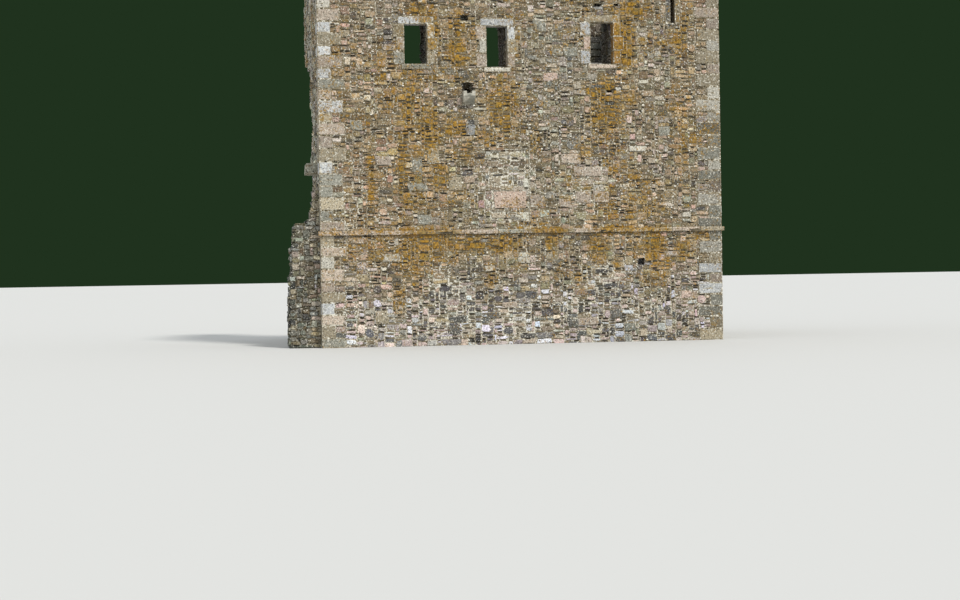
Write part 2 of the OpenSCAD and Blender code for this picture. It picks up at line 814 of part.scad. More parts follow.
// Stones that carried the beams of the second floor
module front_joist_corbels() color(dressed_color) front_corbels();
module back_joist_corbels() color(dressed_color) back_corbels();

// Broken root of the yard wall that met the left flank
module yard_wall_stub() {
    profile = [
        [[0, 0], [-stub_out, 0], [-stub_out, 1750], [-700, 1750], [-700, 2450], [-620, 2450],
         [-620, 2980], [-310, 2980], [-310, 3110], [-230, 3110], [-230, 3330], [-175, 3330],
         [-175, 3580], [-110, 3580], [-110, 3820], [0, 3820]],
        [[0, 0], [-stub_out + 90, 0], [-stub_out + 90, 1350], [-560, 1350], [-560, 2150], [-480, 2150],
         [-480, 2720], [-190, 2720], [-190, 2900], [0, 2900]],
        [[0, 0], [-stub_out + 20, 0], [-stub_out + 20, 1200], [-650, 1200], [-650, 2050], [-430, 2050],
         [-430, 2600], [0, 2600]]
    ];
    color(core_color)
        translate([-half_w, 0, 0]) leaves_x(stub_y[0], stub_y[1], profile);
}

front_wall_ground();
front_wall_hall();
front_wall_upper();
front_wall_head();
right_wall_ground();
right_wall_hall();
right_wall_upper();
right_wall_head();
left_wall_ground();
left_wall_hall();
left_wall_upper();
back_wall_ground();
back_wall_hall();
back_wall_upper();
front_left_quoins();
front_right_quoins();
back_right_quoins();
back_left_quoins();
front_string_course();
right_string_course();
left_string_course();
back_string_course();
front_window_lintels();
front_window_sills();
front_window_jambs();
slit_window_frame();
right_window_lintels();
right_window_sills();
right_window_jambs();
back_window_lintel();
back_window_sill();
back_window_jambs();
blocked_doorway_infill();
blocked_loop_infill();
drain_spout();
doorway_arch();
doorway_jambs();
doorway_threshold();
cellar_vault();
cellar_floor();
front_joist_corbels();
back_joist_corbels();
yard_wall_stub();
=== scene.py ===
"""A ruined rubble keep: lays its stones and finishes over the frame of plain solids."""
import math

import bmesh
import bpy
import numpy as np
from mathutils import Matrix, Vector


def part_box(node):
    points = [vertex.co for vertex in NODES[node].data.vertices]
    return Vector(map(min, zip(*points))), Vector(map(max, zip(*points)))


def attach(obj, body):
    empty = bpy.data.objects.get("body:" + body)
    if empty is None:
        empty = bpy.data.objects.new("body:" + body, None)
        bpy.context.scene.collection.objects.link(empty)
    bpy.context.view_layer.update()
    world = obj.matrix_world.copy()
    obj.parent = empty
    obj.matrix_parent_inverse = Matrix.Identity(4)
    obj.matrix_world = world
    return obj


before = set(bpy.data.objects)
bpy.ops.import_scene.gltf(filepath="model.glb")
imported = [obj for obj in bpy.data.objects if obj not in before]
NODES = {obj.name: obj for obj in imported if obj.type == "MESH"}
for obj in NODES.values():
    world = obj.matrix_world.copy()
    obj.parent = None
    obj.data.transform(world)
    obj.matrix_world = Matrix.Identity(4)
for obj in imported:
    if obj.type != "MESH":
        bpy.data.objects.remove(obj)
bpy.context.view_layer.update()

bl_info = {
    "name": "Ruined Castle Keep",
    "version": (1, 0, 0),
    "blender": (4, 5, 0),
    "location": "View3D > Sidebar > Keep",
    "description": "Lays the stones and finishes of a ruined rubble keep over its solids",
    "category": "Object",
}

WALLS = {
    "front": ["front_wall_ground", "front_wall_hall", "front_wall_upper", "front_wall_head"],
    "right": ["right_wall_ground", "right_wall_hall", "right_wall_upper", "right_wall_head"],
    "left": ["left_wall_ground", "left_wall_hall", "left_wall_upper"],
    "back": ["back_wall_ground", "back_wall_hall", "back_wall_upper"],
}
DRESSED = [
    "front_left_quoins", "front_right_quoins", "back_right_quoins", "back_left_quoins",
    "front_window_lintels", "front_window_sills", "front_window_jambs", "slit_window_frame",
    "right_window_lintels", "right_window_sills", "right_window_jambs",
    "back_window_lintel", "back_window_sill", "back_window_jambs", "doorway_jambs",
]
STRINGS = ["front_string_course", "right_string_course", "left_string_course", "back_string_course"]
# Where the front's face lies along Y and the right side's along X
FRONT = -3.8
SIDE = 5.0
# Heights of the floors of the hall and the upper storey, and of the vault's crown over the ground
HALL_LEVEL = 2.8
UPPER_LEVEL = 5.9
VAULT_CROWN = 2.45
VAULT_ROWS = 13

# Up to this height the foot of the front is limed, pinkish and dark, and bare of lichen
FOOT_TOP = 2.1

# Where ochre lichen grows on the front: name, x, z, half width, half height, how thick
OCHRE_PATCHES = [
    ("over the left window", -2.50, 8.20, 0.45, 0.24, 0.80),
    ("lintel of the left window, right", -2.38, 8.00, 0.24, 0.14, 1.70),
    ("right of the left window", -2.16, 7.62, 0.17, 0.55, 0.95),
    ("blob between the left windows", -1.62, 7.15, 0.26, 0.38, 1.00),
    ("over that blob", -1.58, 7.85, 0.30, 0.60, 0.65),
    ("left of the middle window", -1.18, 7.55, 0.12, 0.55, 0.55),
    ("right of the middle window", -0.14, 7.70, 0.15, 0.55, 0.50),
    ("under the left window", -2.85, 5.75, 0.22, 0.80, 0.85),
    ("streak under the left window", -2.32, 5.30, 0.28, 0.70, 0.95),
    ("beside that streak", -1.70, 5.35, 0.32, 0.36, 0.80),
    ("left of the infill", -1.45, 4.80, 0.42, 0.32, 0.60),
    ("under the middle window", -0.50, 5.85, 0.46, 0.75, 0.90),
    ("over the infill, left", -0.85, 5.10, 0.40, 0.28, 0.65),
    ("long streak, left", -3.00, 4.45, 0.15, 1.10, 0.75),
    ("middle of the left half", -2.08, 4.15, 0.26, 0.42, 0.75),
    ("narrow streak, far left", -3.77, 4.15, 0.09, 0.85, 0.95),
    ("far left, high", -4.55, 7.30, 0.16, 0.80, 0.55),
    ("left half, low", -2.70, 3.60, 0.42, 0.30, 0.65),
    ("left of the infill, low", -1.55, 3.60, 0.45, 0.30, 0.55),
    ("far left, low", -3.72, 3.30, 0.22, 0.32, 0.50),
    ("below the string course, left", -2.30, 2.48, 0.90, 0.42, 1.00),
    ("its left foot", -2.82, 2.05, 0.34, 0.42, 0.85),
    ("below the string course, left of the middle", -1.35, 2.48, 0.55, 0.24, 0.80),
    ("below the string course, middle", -0.52, 2.46, 0.48, 0.26, 0.95),
    ("right of the dark streak", -0.84, 1.65, 0.20, 0.34, 0.70),
    ("low left", -3.14, 1.12, 0.20, 0.30, 0.75),
    ("below the string course, far left", -4.35, 2.30, 0.35, 0.28, 0.50),
    ("below the string course, right of the middle", 0.68, 2.55, 0.18, 0.34, 1.00),
    ("below the string course, right", 1.85, 2.30, 0.28, 0.36, 0.95),
    ("spot below it", 2.30, 1.95, 0.10, 0.16, 1.00),
    ("below the string course, far right", 3.30, 2.35, 0.32, 0.40, 1.00),
    ("its foot", 3.50, 1.96, 0.32, 0.20, 0.90),
    ("beside the corner stones", 4.02, 2.30, 0.26, 0.30, 0.90),
    ("low right", 3.25, 1.62, 0.42, 0.25, 0.60),
    ("string course, right", 2.50, 2.80, 1.10, 0.13, 0.80),
    ("string course, middle", 0.55, 2.82, 0.60, 0.12, 0.75),
    ("string course, left", -3.00, 2.82, 1.60, 0.10, 0.55),
    ("corner under the string course", 4.50, 2.62, 0.38, 0.16, 0.85),
    ("right of the right window", 2.58, 7.50, 0.26, 0.72, 1.25),
    ("over the right window", 2.75, 8.25, 0.48, 0.26, 0.85),
    ("under the right window", 2.08, 6.22, 0.42, 0.32, 1.00),
    ("below that", 2.10, 5.60, 0.46, 0.50, 0.95),
    ("beside it", 2.75, 6.10, 0.26, 0.22, 0.70),
    ("left of the dark stones", 1.60, 4.76, 0.26, 0.26, 0.65),
    ("bright spot", 2.27, 4.25, 0.14, 0.13, 1.00),
    ("spot below it, right", 2.17, 3.82, 0.16, 0.11, 0.95),
    ("spot below it, left", 1.60, 3.85, 0.13, 0.11, 0.80),
    ("right streak, high", 4.00, 7.50, 0.16, 0.65, 0.70),
    ("right streak", 4.06, 5.20, 0.13, 1.10, 0.65),
    ("over the string course, right", 3.20, 3.35, 0.46, 0.26, 0.65),
    ("over the string course", 2.70, 3.30, 0.20, 0.40, 0.60),
    ("right of the infill", 0.32, 5.05, 0.14, 0.50, 0.55),
    ("wall head, left", -2.40, 9.60, 1.40, 0.80, 0.60),
    ("wall head, right", 2.60, 9.90, 1.60, 0.90, 0.65),
]

# Where pale lime mortar is left between the stones of the front: columns as above, how much
LIME_PATCHES = [
    ("round the infill", -0.40, 3.95, 0.72, 1.10, 0.75),
    ("below the blocked loop", -1.95, 1.42, 0.55, 0.36, 1.00),
    ("foot, left of the middle", -1.85, 0.60, 0.90, 0.55, 1.00),
    ("foot, middle", -0.30, 0.60, 0.90, 0.50, 0.95),
    ("right of the middle", 1.95, 1.45, 0.62, 0.48, 1.00),
    ("foot, right of the middle", 1.25, 0.75, 0.95, 0.55, 0.85),
    ("foot, right", 3.10, 0.80, 0.90, 0.50, 0.60),
    ("foot, far left", -4.30, 0.80, 0.60, 0.60, 0.60),
    ("pink stones on the right", 1.65, 3.90, 0.55, 0.80, 0.55),
    ("left column", -4.25, 3.40, 0.40, 0.80, 0.45),
]

# Where the stones of the front are darker and bluer: name, x, z, half width, half height
DARK_PATCHES = [
    ("streak below the spout", -1.28, 1.95, 0.26, 0.85),
    ("under the right window", 2.12, 4.75, 0.34, 0.28),
    ("under the spout", -1.35, 5.75, 0.24, 0.42),
    ("far left, low", -3.25, 1.75, 0.20, 0.28),
    ("right, low", 2.85, 1.96, 0.26, 0.14),
    ("over the spout", -1.35, 8.15, 0.16, 0.36),
    ("below the string course, middle", 0.08, 2.55, 0.20, 0.22),
    ("below the blocked loop", -1.95, 1.25, 0.55, 0.25),
    ("low, right of the middle", 2.05, 1.25, 0.50, 0.25),
    ("under the right window, high", 2.10, 5.85, 0.42, 0.75),
]

# Where the stones of the front have a yellow wash: name, x, z, half width, half height, how strong
WASH_PATCHES = [
    ("left half", -2.90, 4.60, 1.90, 2.40, 1.00),
    ("below the string course, left", -3.00, 2.05, 1.40, 0.95, 1.00),
    ("below the string course, middle", -0.90, 2.35, 1.20, 0.60, 0.80),
    ("under the middle window", -0.60, 5.90, 0.75, 1.50, 0.90),
    ("between the left windows", -1.60, 7.40, 0.50, 1.20, 0.80),
    ("far left, high", -4.10, 7.30, 0.80, 1.60, 0.60),
    ("right of the right window", 2.60, 7.30, 0.65, 1.50, 1.00),
    ("over the right window", 2.50, 8.40, 1.20, 0.60, 0.80),
    ("under the right window", 2.15, 5.90, 0.75, 1.00, 0.80),
    ("over the string course, right", 2.30, 2.90, 1.60, 0.90, 1.00),
    ("right streak", 4.05, 5.40, 0.45, 2.40, 0.90),
    ("over the windows", 0.00, 8.90, 5.00, 0.90, 0.70),
    ("corner, right", 4.40, 7.80, 0.60, 1.60, 0.80),
]

# Where more joints of the front are open, each with a dark chip as its painted shade: name, x, z, half width,
# half height, how many more
OPEN_JOINTS = [
    ("under the right window", 2.10, 5.50, 0.55, 1.15, 2.40),
    ("left half", -2.60, 4.90, 1.60, 1.50, 0.60),
    ("under the middle window", -0.60, 5.80, 0.60, 0.80, 0.60),
    ("foot", 0.30, 0.60, 4.00, 0.70, 0.60),
    ("right", 3.20, 4.60, 0.90, 1.00, 0.50),
]

# Colours of the larger stones that the solids show on the front: x and z of a point, kind, value
FACE_STONES = [
    (-2.44, 8.42, "pale", 1.10), (-1.30, 5.29, "frost", 0.50), (-2.22, 4.64, "tan", 1.15),
    (-2.64, 4.40, "grey", 1.00), (-2.64, 3.87, "grey", 1.00), (-1.70, 3.97, "tan", 1.10),
    (-2.47, 3.07, "grey", 1.05), (-3.47, 4.56, "pink", 0.95), (-4.11, 5.43, "grey", 1.15),
    (1.20, 4.57, "pink", 1.30), (1.63, 4.25, "pink", 1.00), (1.49, 3.60, "pink", 0.95),
    (1.95, 3.61, "pink", 1.02), (2.89, 4.78, "pale", 1.05), (0.34, 3.51, "pink", 0.85),
    (1.04, 3.46, "pink", 0.95), (3.57, 5.24, "grey", 1.10), (-3.26, 7.30, "pink", 0.95),
    (1.22, 7.22, "grey", 0.95), (0.89, 7.18, "grey", 1.00), (0.47, 7.80, "grey", 1.00),
    (-3.31, 2.18, "pale", 0.80), (-4.18, 2.61, "pink", 1.00), (-0.02, 2.05, "pale", 0.90),
    (-0.89, 1.88, "pale", 0.95), (-1.61, 0.65, "dark", 1.10), (-1.79, 0.38, "dark", 1.30),
    (1.19, 0.50, "dark", 1.30), (2.28, 0.70, "dark", 1.50), (-0.80, 0.73, "dark", 1.40),
    (1.60, 0.54, "pink", 0.95), (-3.57, 0.67, "tan", 1.00), (-0.39, 0.96, "pink", 1.10),
]

# Slab in the walled-up doorway: x0, z0, x1, z1, kind, value, how far it is proud
INFILL_SLAB = (-0.76, 3.37, 0.02, 3.77, "rose", 1.05, 0.030)

# Dressed stones with a colour of their own: x and z of a point in each, kind, value
BLOCKS = [
    (-4.75, 8.35, "pale", 0.95), (-4.85, 8.10, "pink", 1.00), (-4.85, 7.85, "frost", 0.95),
    (-4.60, 7.60, "tan", 0.90), (-4.85, 7.28, "frost", 1.15), (-4.85, 6.95, "pink", 0.85),
    (-4.60, 6.75, "brown", 1.25), (-4.85, 6.60, "frost", 0.85), (-4.60, 6.05, "frost", 1.10),
    (-4.85, 5.72, "frost", 1.00), (-4.60, 5.45, "pink", 1.10), (-4.85, 4.35, "frost", 0.90),
    (-4.75, 1.10, "frost", 1.00), (4.75, 6.15, "pale", 0.82), (4.85, 1.35, "frost", 0.80),
    (4.70, 1.75, "frost", 0.72), (-2.75, 7.97, "frost", 0.92), (-3.00, 7.00, "grey", 1.00),
    (-3.00, 7.40, "pink", 0.88), (-3.00, 7.70, "brown", 1.10), (-2.20, 7.05, "tan", 0.90),
    (-2.20, 7.40, "brown", 1.20), (-0.60, 7.90, "frost", 0.70), (-0.95, 7.00, "pink", 0.90),
    (-0.95, 7.35, "pale", 0.80), (-0.25, 7.40, "tan", 1.05), (2.03, 8.02, "tan", 0.95),
    (1.62, 7.80, "frost", 0.85), (1.62, 7.40, "rose", 0.95), (1.62, 7.05, "frost", 0.78),
    (2.42, 7.05, "ochre", 1.00), (2.42, 7.40, "ochre", 0.90), (2.42, 7.75, "ochre", 1.10),
]


def colour_property(name, description, default):
    return bpy.props.FloatVectorProperty(
        name=name, description=description, subtype="COLOR", size=3, min=0, max=1, default=default)


def length_property(name, description, default, least, greatest):
    return bpy.props.FloatProperty(
        name=name, description=description, default=default, min=least, max=greatest, unit="LENGTH")


class KeepStones(bpy.types.PropertyGroup):
    stone_length: length_property("Stone length", "Usual length of a rubble stone", 0.220, 0.1, 0.6)
    stone_height: length_property("Stone height", "Usual height of a rubble stone", 0.102, 0.05, 0.3)
    joint: length_property("Joint", "Width of the mortar joint between rubble stones", 0.024, 0.0, 0.05)
    proud: length_property("Proud", "How far a rubble stone stands out of its mortar", 0.020, 0.005, 0.08)
    seed: bpy.props.IntProperty(
        name="Seed", description="Choice of the random laying", default=7, min=0, max=999)


class KeepColours(bpy.types.PropertyGroup):
    brown: colour_property("Brown stone", "The commonest rubble stone", (0.218, 0.180, 0.114))
    tan: colour_property("Tan stone", "Paler warm rubble stone", (0.330, 0.285, 0.202))
    grey: colour_property("Grey stone", "Grey rubble stone", (0.258, 0.254, 0.212))
    dark: colour_property("Dark stone", "Dark blue-grey rubble stone", (0.092, 0.090, 0.082))
    pink: colour_property("Pink stone", "Pinkish stone", (0.405, 0.338, 0.272))
    pale: colour_property("Pale stone", "Palest stone", (0.585, 0.558, 0.475))
    frost: colour_property("Bluish white stone", "Palest stone, a little blue", (0.545, 0.560, 0.560))
    rose: colour_property("Rose stone", "Pale pink stone", (0.500, 0.385, 0.310))
    ochre: colour_property("Ochre lichen", "Orange-brown lichen", (0.335, 0.181, 0.016))
    olive: colour_property("Olive lichen", "Dull brown-green lichen among the orange", (0.205, 0.150, 0.045))
    moss: colour_property("Grey-green lichen", "Thin grey-green growth", (0.205, 0.205, 0.145))
    lime: colour_property("Lime mortar", "Pale lime mortar left in the joints", (0.760, 0.735, 0.640))
    # washed is near black. It is the painted shade in open joints, in mortar holes and under the string
    # course, and also the colour of dark flecks on stone and of dark veins in the earth
    washed: colour_property("Washed joint", "Dark joint whose mortar is washed out", (0.036, 0.031, 0.022))
    earth: colour_property("Earth", "Dirt on floors and wall heads", (0.115, 0.095, 0.065))


class KeepStage(bpy.types.PropertyGroup):
    floor: colour_property("Floor", "Colour of the plain floor", (0.62, 0.62, 0.60))
    backdrop: colour_property("Backdrop", "Plain colour behind the keep", (0.0144, 0.0319, 0.0130))
    sun: bpy.props.FloatProperty(
        name="Sun", description="Strength of the soft sun", default=2.35, min=0, max=10)
    sky: bpy.props.FloatProperty(
        name="Sky", description="Strength of the even light from all round", default=0.74, min=0, max=5)


# Reading the solids. Lengths are in metres.

# Side of the square cells that a face is divided into for laying
CELL = 0.02
# A face whose normal has this much along an axis lies square to it
SQUARE = 0.9995
# Offsets nearer than this are one plane
SAME_PLANE = 0.003
# Offsets are rounded to a millimetre, so a face lies nearer than this to its own
ROUNDED = 0.0011
# A face that looks the other way covers one that it lies nearer to than this
COVERS = 0.0025
# How far behind and before a face a dressed stone's own face may lie to close the face's edge
BEHIND = 0.04
BEFORE = 0.12
# The outer faces of a wall lie nearer than this to its outermost plane
OUTER_DEPTH = 0.2
# Least area of a plane that counts as a wall's face, and greatest area of a single stone's face
WALL_AREA = 3.0
STONE_AREA = 0.2
# How far past a single stone's edge the wall beside it is looked for
BESIDE = 0.015
# Greatest distance that a single stone stands out of its wall
MOST_OUT = 0.5
# The axis and the side that each wall's outer face looks along
OUTER = {"front": (1, -1), "right": (0, 1), "left": (0, -1), "back": (1, 1)}
WALL_NODES = [name for nodes in WALLS.values() for name in nodes]


def corners_of(name):
    """The triangles of a node as an array (n, 3, 3), in metres."""
    mesh = NODES[name].data
    mesh.calc_loop_triangles()
    places = np.empty(len(mesh.vertices) * 3, np.float32)
    mesh.vertices.foreach_get("co", places)
    index = np.empty(len(mesh.loop_triangles) * 3, np.int32)
    mesh.loop_triangles.foreach_get("vertices", index)
    return places.reshape(-1, 3)[index].reshape(-1, 3, 3).astype(float)


def flat_faces():
    """All triangles that lie square to an axis: {(axis, side): [(node, offset, triangle)]}."""
    found = {}
    for name in NODES:
        tri = corners_of(name)
        normal = np.cross(tri[:, 1] - tri[:, 0], tri[:, 2] - tri[:, 0])
        size = np.linalg.norm(normal, axis=1)
        for t, n, s in zip(tri, normal, size):
            if s < 1e-7:
                continue
            n = n / s
            axis = int(np.argmax(np.abs(n)))
            if abs(n[axis]) > SQUARE:
                found.setdefault((axis, 1 if n[axis] > 0 else -1), []).append((name, t[:, axis].mean(), t))
    return found


FACES = flat_faces()


def across(axis):
    """The two axes that a face square to axis is seen along."""
    return {0: (1, 2), 1: (0, 2), 2: (0, 1)}[axis]


def large_planes(axis, side):
    """Where the large faces of the walls that look one way lie, the outermost first."""
    area = {}
    for name, offset, t in FACES[axis, side]:
        if name in WALL_NODES:
            key = round(offset, 3)
            area[key] = area.get(key, 0) + np.linalg.norm(np.cross(t[1] - t[0], t[2] - t[0])) / 2
    return sorted((o for o in area if area[o] > WALL_AREA), key=lambda o: -side * o)


PLANES = {key: large_planes(*key) for key in OUTER.values()}


def holds(triangles, axis, point):
    """True where one of the triangles holds a point (u, v)."""
    for t in triangles:
        p = t[:, across(axis)] - point
        turns = [p[i][0] * p[(i + 1) % 3][1] - p[i][1] * p[(i + 1) % 3][0] for i in range(3)]
        if min(turns) >= 0 or max(turns) <= 0:
            return True
    return False


def bond_boxes(axis, side):
    """The single stones that the solids show standing out of a wall: [(node, low, high)]. Each box
    runs from the plane of the wall to the stone's own face."""
    u, v = across(axis)
    found = {}
    for name, offset, t in FACES[axis, side]:
        if name in WALL_NODES and all(abs(offset - plane) > SAME_PLANE for plane in PLANES[axis, side]):
            flat = t[:, [u, v]]
            key = (name, round(offset, 3), *np.round(flat.min(0), 3), *np.round(flat.max(0), 3))
            found[key] = found.get(key, 0) + 1
    boxes = []
    for (name, offset, u0, v0, u1, v1), count in found.items():
        if count != 2 or (u1 - u0) * (v1 - v0) > STONE_AREA:
            continue
        middle_u, middle_v = (u0 + u1) / 2, (v0 + v1) / 2
        beside = [(u0 - BESIDE, middle_v), (u1 + BESIDE, middle_v), (middle_u, v0 - BESIDE),
                  (middle_u, v1 + BESIDE)]
        for plane in PLANES[axis, side]:
            if SAME_PLANE < side * (offset - plane) < MOST_OUT:
                wall = [t for n, o, t in FACES[axis, side] if n in WALL_NODES and abs(o - plane) < ROUNDED]
                if sum(holds(wall, axis, point) for point in beside) >= 3:
                    low, high = np.empty(3), np.empty(3)
                    low[[axis, u, v]] = min(plane, offset), u0, v0
                    high[[axis, u, v]] = max(plane, offset), u1, v1
                    boxes.append((name, low, high))
                    break
    return boxes


BONDS = {key: bond_boxes(*key) for key in OUTER.values()}


def is_outer(axis, side, offset):
    """True for the outer faces of the walls, the hollow of the fallen facing among them."""
    planes = PLANES.get((axis, side), ())
    return any(abs(offset - plane) < SAME_PLANE and abs(plane - planes[0]) < OUTER_DEPTH for plane in planes)


def paint(mask, origin, triangles, axis):
    """Sets the cells of mask whose middle is inside one of the triangles."""
    u, v = across(axis)
    for t in triangles:
        p = (t[:, [u, v]] - origin) / CELL
        low = np.maximum(np.floor(p.min(0)).astype(int), 0)
        high = np.minimum(np.ceil(p.max(0)).astype(int) + 1, [mask.shape[1], mask.shape[0]])
        if (high <= low).any():
            continue
        x, y = np.meshgrid(np.arange(low[0], high[0]) + 0.5, np.arange(low[1], high[1]) + 0.5)
        side = np.array([
            (p[(i + 1) % 3, 0] - p[i, 0]) * (y - p[i, 1]) - (p[(i + 1) % 3, 1] - p[i, 1]) * (x - p[i, 0])
            for i in range(3)
        ])
        inside = (side >= -1e-6).all(0) | (side <= 1e-6).all(0)
        mask[low[1]:high[1], low[0]:high[0]][inside] = True


def open_faces(nodes, axis, side):
    """The flat faces of these nodes that nothing covers: [(offset, origin, mask, flush)].
    flush is where a dressed stone or a string course stands beside the face."""
    mine = [f for f in FACES.get((axis, side), []) if f[0] in nodes]
    u, v = across(axis)
    result = []
    for offset in sorted({round(f[1], 3) for f in mine}):
        own = [f[2] for f in mine if abs(f[1] - offset) < ROUNDED]
        places = np.concatenate(own)[:, [u, v]]
        origin = places.min(0) - CELL * 2
        shape = np.ceil((places.max(0) - origin) / CELL).astype(int) + 3
        mask = np.zeros((shape[1], shape[0]), bool)
        paint(mask, origin, own, axis)
        cover = [f[2] for f in FACES.get((axis, -side), []) if abs(f[1] - offset) < COVERS]
        covered = np.zeros_like(mask)
        paint(covered, origin, cover, axis)
        mask &= ~covered
        flush = np.zeros_like(mask)
        near = [f[2] for f in FACES[axis, side]
                if (SAME_PLANE if f[0] in nodes else -BEHIND) < side * (f[1] - offset) < BEFORE]
        paint(flush, origin, near, axis)
        for _name, low, high in (box for boxes in BONDS.values() for box in boxes):
            if low[axis] - SAME_PLANE < offset < high[axis] + SAME_PLANE:
                cells = [np.round((corner[[u, v]] - origin) / CELL).astype(int) for corner in (low, high)]
                if (cells[1] > 0).all():
                    start = np.maximum(cells[0], 0)
                    mask[start[1]:cells[1][1], start[0]:cells[1][0]] = False
        if mask.sum() > 6:
            result.append((offset, origin, mask, flush & ~mask))
    return result


# Laying

# Heights of a course against the usual one, and how often each comes
COURSE_HEIGHTS = [0.75, 0.95, 1.15, 1.4]
COURSE_SHARES = [0.18, 0.32, 0.32, 0.18]
# A throw below the first number lays a usual stone, below the second a small one, else a large one
USUAL_BELOW = 0.50
SMALL_BELOW = 0.74
# Least and greatest height of a usual stone against its course, and its length
USUAL_HEIGHTS, USUAL_LENGTH = (0.85, 1.15), 1.1
# Height and length of a small and of a large stone
SMALL_STONE, LARGE_STONE = (0.55, 0.72), (1.5, 1.0)
# The rest is counted in cells: how far the laying looks ahead, the least length and height of a stone,
# and the shortest rest of a row and the lowest rest over a stone that are worth a stone of their own
LOOK_AHEAD = 60
LEAST_LONG, LEAST_TALL = 3, 2
LEAST_REST, LEAST_OVER = 4, 3
# By how much a stone may be longer or shorter, so that its upright joint clears the one below, and the
# least length of a stone that this is done to
JOINT_SHIFTS = (0, 2, 3, 4, 5, -3, 7)
LEAST_SHIFTED = 6


def lay_rubble(mask, rng, length, height):
    """Fills the free cells with oblong stones in rough courses: [(column, row, columns, rows)].
    The upright joints of one course keep clear of those of the course below."""
    free = mask.copy()
    owner = np.full(mask.shape, -1)
    rows, columns = free.shape
    laid = []
    for row in range(rows):
        if not free[row].any():
            continue
        course_height = height * rng.choice(COURSE_HEIGHTS, p=COURSE_SHARES)
        column = 0
        while column < columns:
            if not free[row, column]:
                column += 1
                continue
            run = 1
            while column + run < columns and free[row, column + run] and run < LOOK_AHEAD:
                run += 1
            throw = rng.random()
            if throw < USUAL_BELOW:
                tall, long = rng.uniform(*USUAL_HEIGHTS), USUAL_LENGTH
            else:
                tall, long = SMALL_STONE if throw < SMALL_BELOW else LARGE_STONE
            w = max(LEAST_LONG, int(round(length * rng.lognormal(0.0, 0.34) * long / CELL)))
            h = max(LEAST_TALL, int(round(course_height * tall / CELL)))
            for shift in JOINT_SHIFTS:
                edge = column + w + shift
                if w + shift >= LEAST_SHIFTED and edge + 1 < columns and w + shift < run:
                    below = owner[max(row - 1, 0), edge - 2:edge + 2]
                    if (below[1:] == below[:-1]).all():
                        w += shift
                        break
            if run - w < LEAST_REST:
                w = run if run < w * 1.5 else int(math.ceil(run / 2))
            w = min(w, run)
            span = slice(column, column + w)
            top = 1
            while top < h and row + top < rows and free[row + top, span].all():
                top += 1
            # a sliver left over the stone is taken in as well
            over = 0
            while over < LEAST_OVER and row + top + over < rows and free[row + top + over, span].all():
                over += 1
            if over < LEAST_OVER and top + over <= h + 2:
                top += over
            free[row:row + top, span] = False
            owner[row:row + top, span] = len(laid)
            laid.append((column, row, w, top))
            column += w
    return laid


class Masonry:
    """Collects stones as copies of the pattern stones, and makes one mesh of them."""

    def __init__(self):
        self.places, self.faces, self.colours = [], [], []
        self.count = 0

    def add(self, pattern, places, colour, flip=False, growth=0.5):
        self.places.append(places)
        for face in pattern["faces"]:
            ring = [self.count + i for i in face]
            self.faces.append(ring[::-1] if flip else ring)
        self.colours.append(np.tile(np.append(colour, growth), (len(places), 1)))
        self.count += len(places)

    def build(self, name, material, slot):
        mesh = bpy.data.meshes.new(name)
        mesh.from_pydata(np.concatenate(self.places).tolist(), [], self.faces)
        tint = mesh.attributes.new("stone", "FLOAT_COLOR", "POINT")
        tint.data.foreach_set("color", np.concatenate(self.colours).astype(np.float32).ravel())
        mesh.materials.append(material)
        mesh.validate()
        piece = bpy.data.objects.new(name, mesh)
        bpy.context.scene.collection.objects.link(piece)
        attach(piece, "root")


def deselect():
    if bpy.context.object and bpy.context.object.mode != "OBJECT":
        bpy.ops.object.mode_set(mode="OBJECT")
    bpy.ops.object.select_all(action="DESELECT")


def start_cube(place=(0, 0, 0)):
    """Adds a unit cube and goes to edit mode with all of it selected."""
    deselect()
    bpy.ops.mesh.primitive_cube_add(size=1, location=place)
    bpy.ops.object.mode_set(mode="EDIT")
    bpy.ops.mesh.select_all(action="SELECT")
    return bpy.context.object


def roughen(stone, offset, seed):
    """Shifts the points of the stone in edit mode by chance and reads its points and faces. The
    object is taken away again."""
    bpy.ops.mesh.select_all(action="SELECT")
    bpy.ops.transform.vertex_random(offset=offset, uniform=1.0, normal=0.0, seed=seed)
    bpy.ops.object.mode_set(mode="OBJECT")
    points = np.array([v.co[:] for v in stone.data.vertices]) + np.array(stone.location)
    faces = [list(p.vertices) for p in stone.data.polygons]
    bpy.data.objects.remove(stone)
    return {"points": points, "faces": faces}


def select_top():
    """In edit mode, selects the faces that look up."""
    bm = bmesh.from_edit_mesh(bpy.context.object.data)
    bpy.ops.mesh.select_all(action="DESELECT")
    bpy.ops.mesh.select_mode(type="FACE")
    for f in bm.faces:
        f.select_set(f.normal.z > 0.9)
    bmesh.update_edit_mesh(bpy.context.object.data)


def seat_back(pattern, below, height):
    """Puts the corner of a pattern's cube at the origin, makes what lies below a height its flat back,
    and scales the pattern's whole height to 1."""
    points = pattern["points"] + 0.5
    points[:, 2] = np.where(points[:, 2] < below, 0.0, points[:, 2] / height)
    pattern["points"] = points
    return pattern


def model_rubble_stone(seed, chamfers):
    """A broken stone in a unit cube, with a domed face that looks along +Z. chamfers says how
    many of its four upright edges are broken off."""
    stone = start_cube()
    bm = bmesh.from_edit_mesh(stone.data)
    bpy.ops.mesh.select_all(action="DESELECT")
    bpy.ops.mesh.select_mode(type="EDGE")
    upright = [e for e in bm.edges if abs(e.verts[0].co.z - e.verts[1].co.z) > 0.5]
    for i in range(chamfers):
        upright[(i * 3 + seed) % 4].select_set(True)
    bmesh.update_edit_mesh(stone.data)
    if chamfers:
        bpy.ops.mesh.bevel(offset=0.14 + 0.07 * (seed % 3), segments=1)
    select_top()
    bpy.ops.mesh.inset(thickness=0.09, depth=0.0)
    bpy.ops.transform.translate(value=(0, 0, 0.30))
    bpy.ops.mesh.poke(offset=0.03)
    return seat_back(roughen(stone, 0.085, seed), 0.4, 1.30)


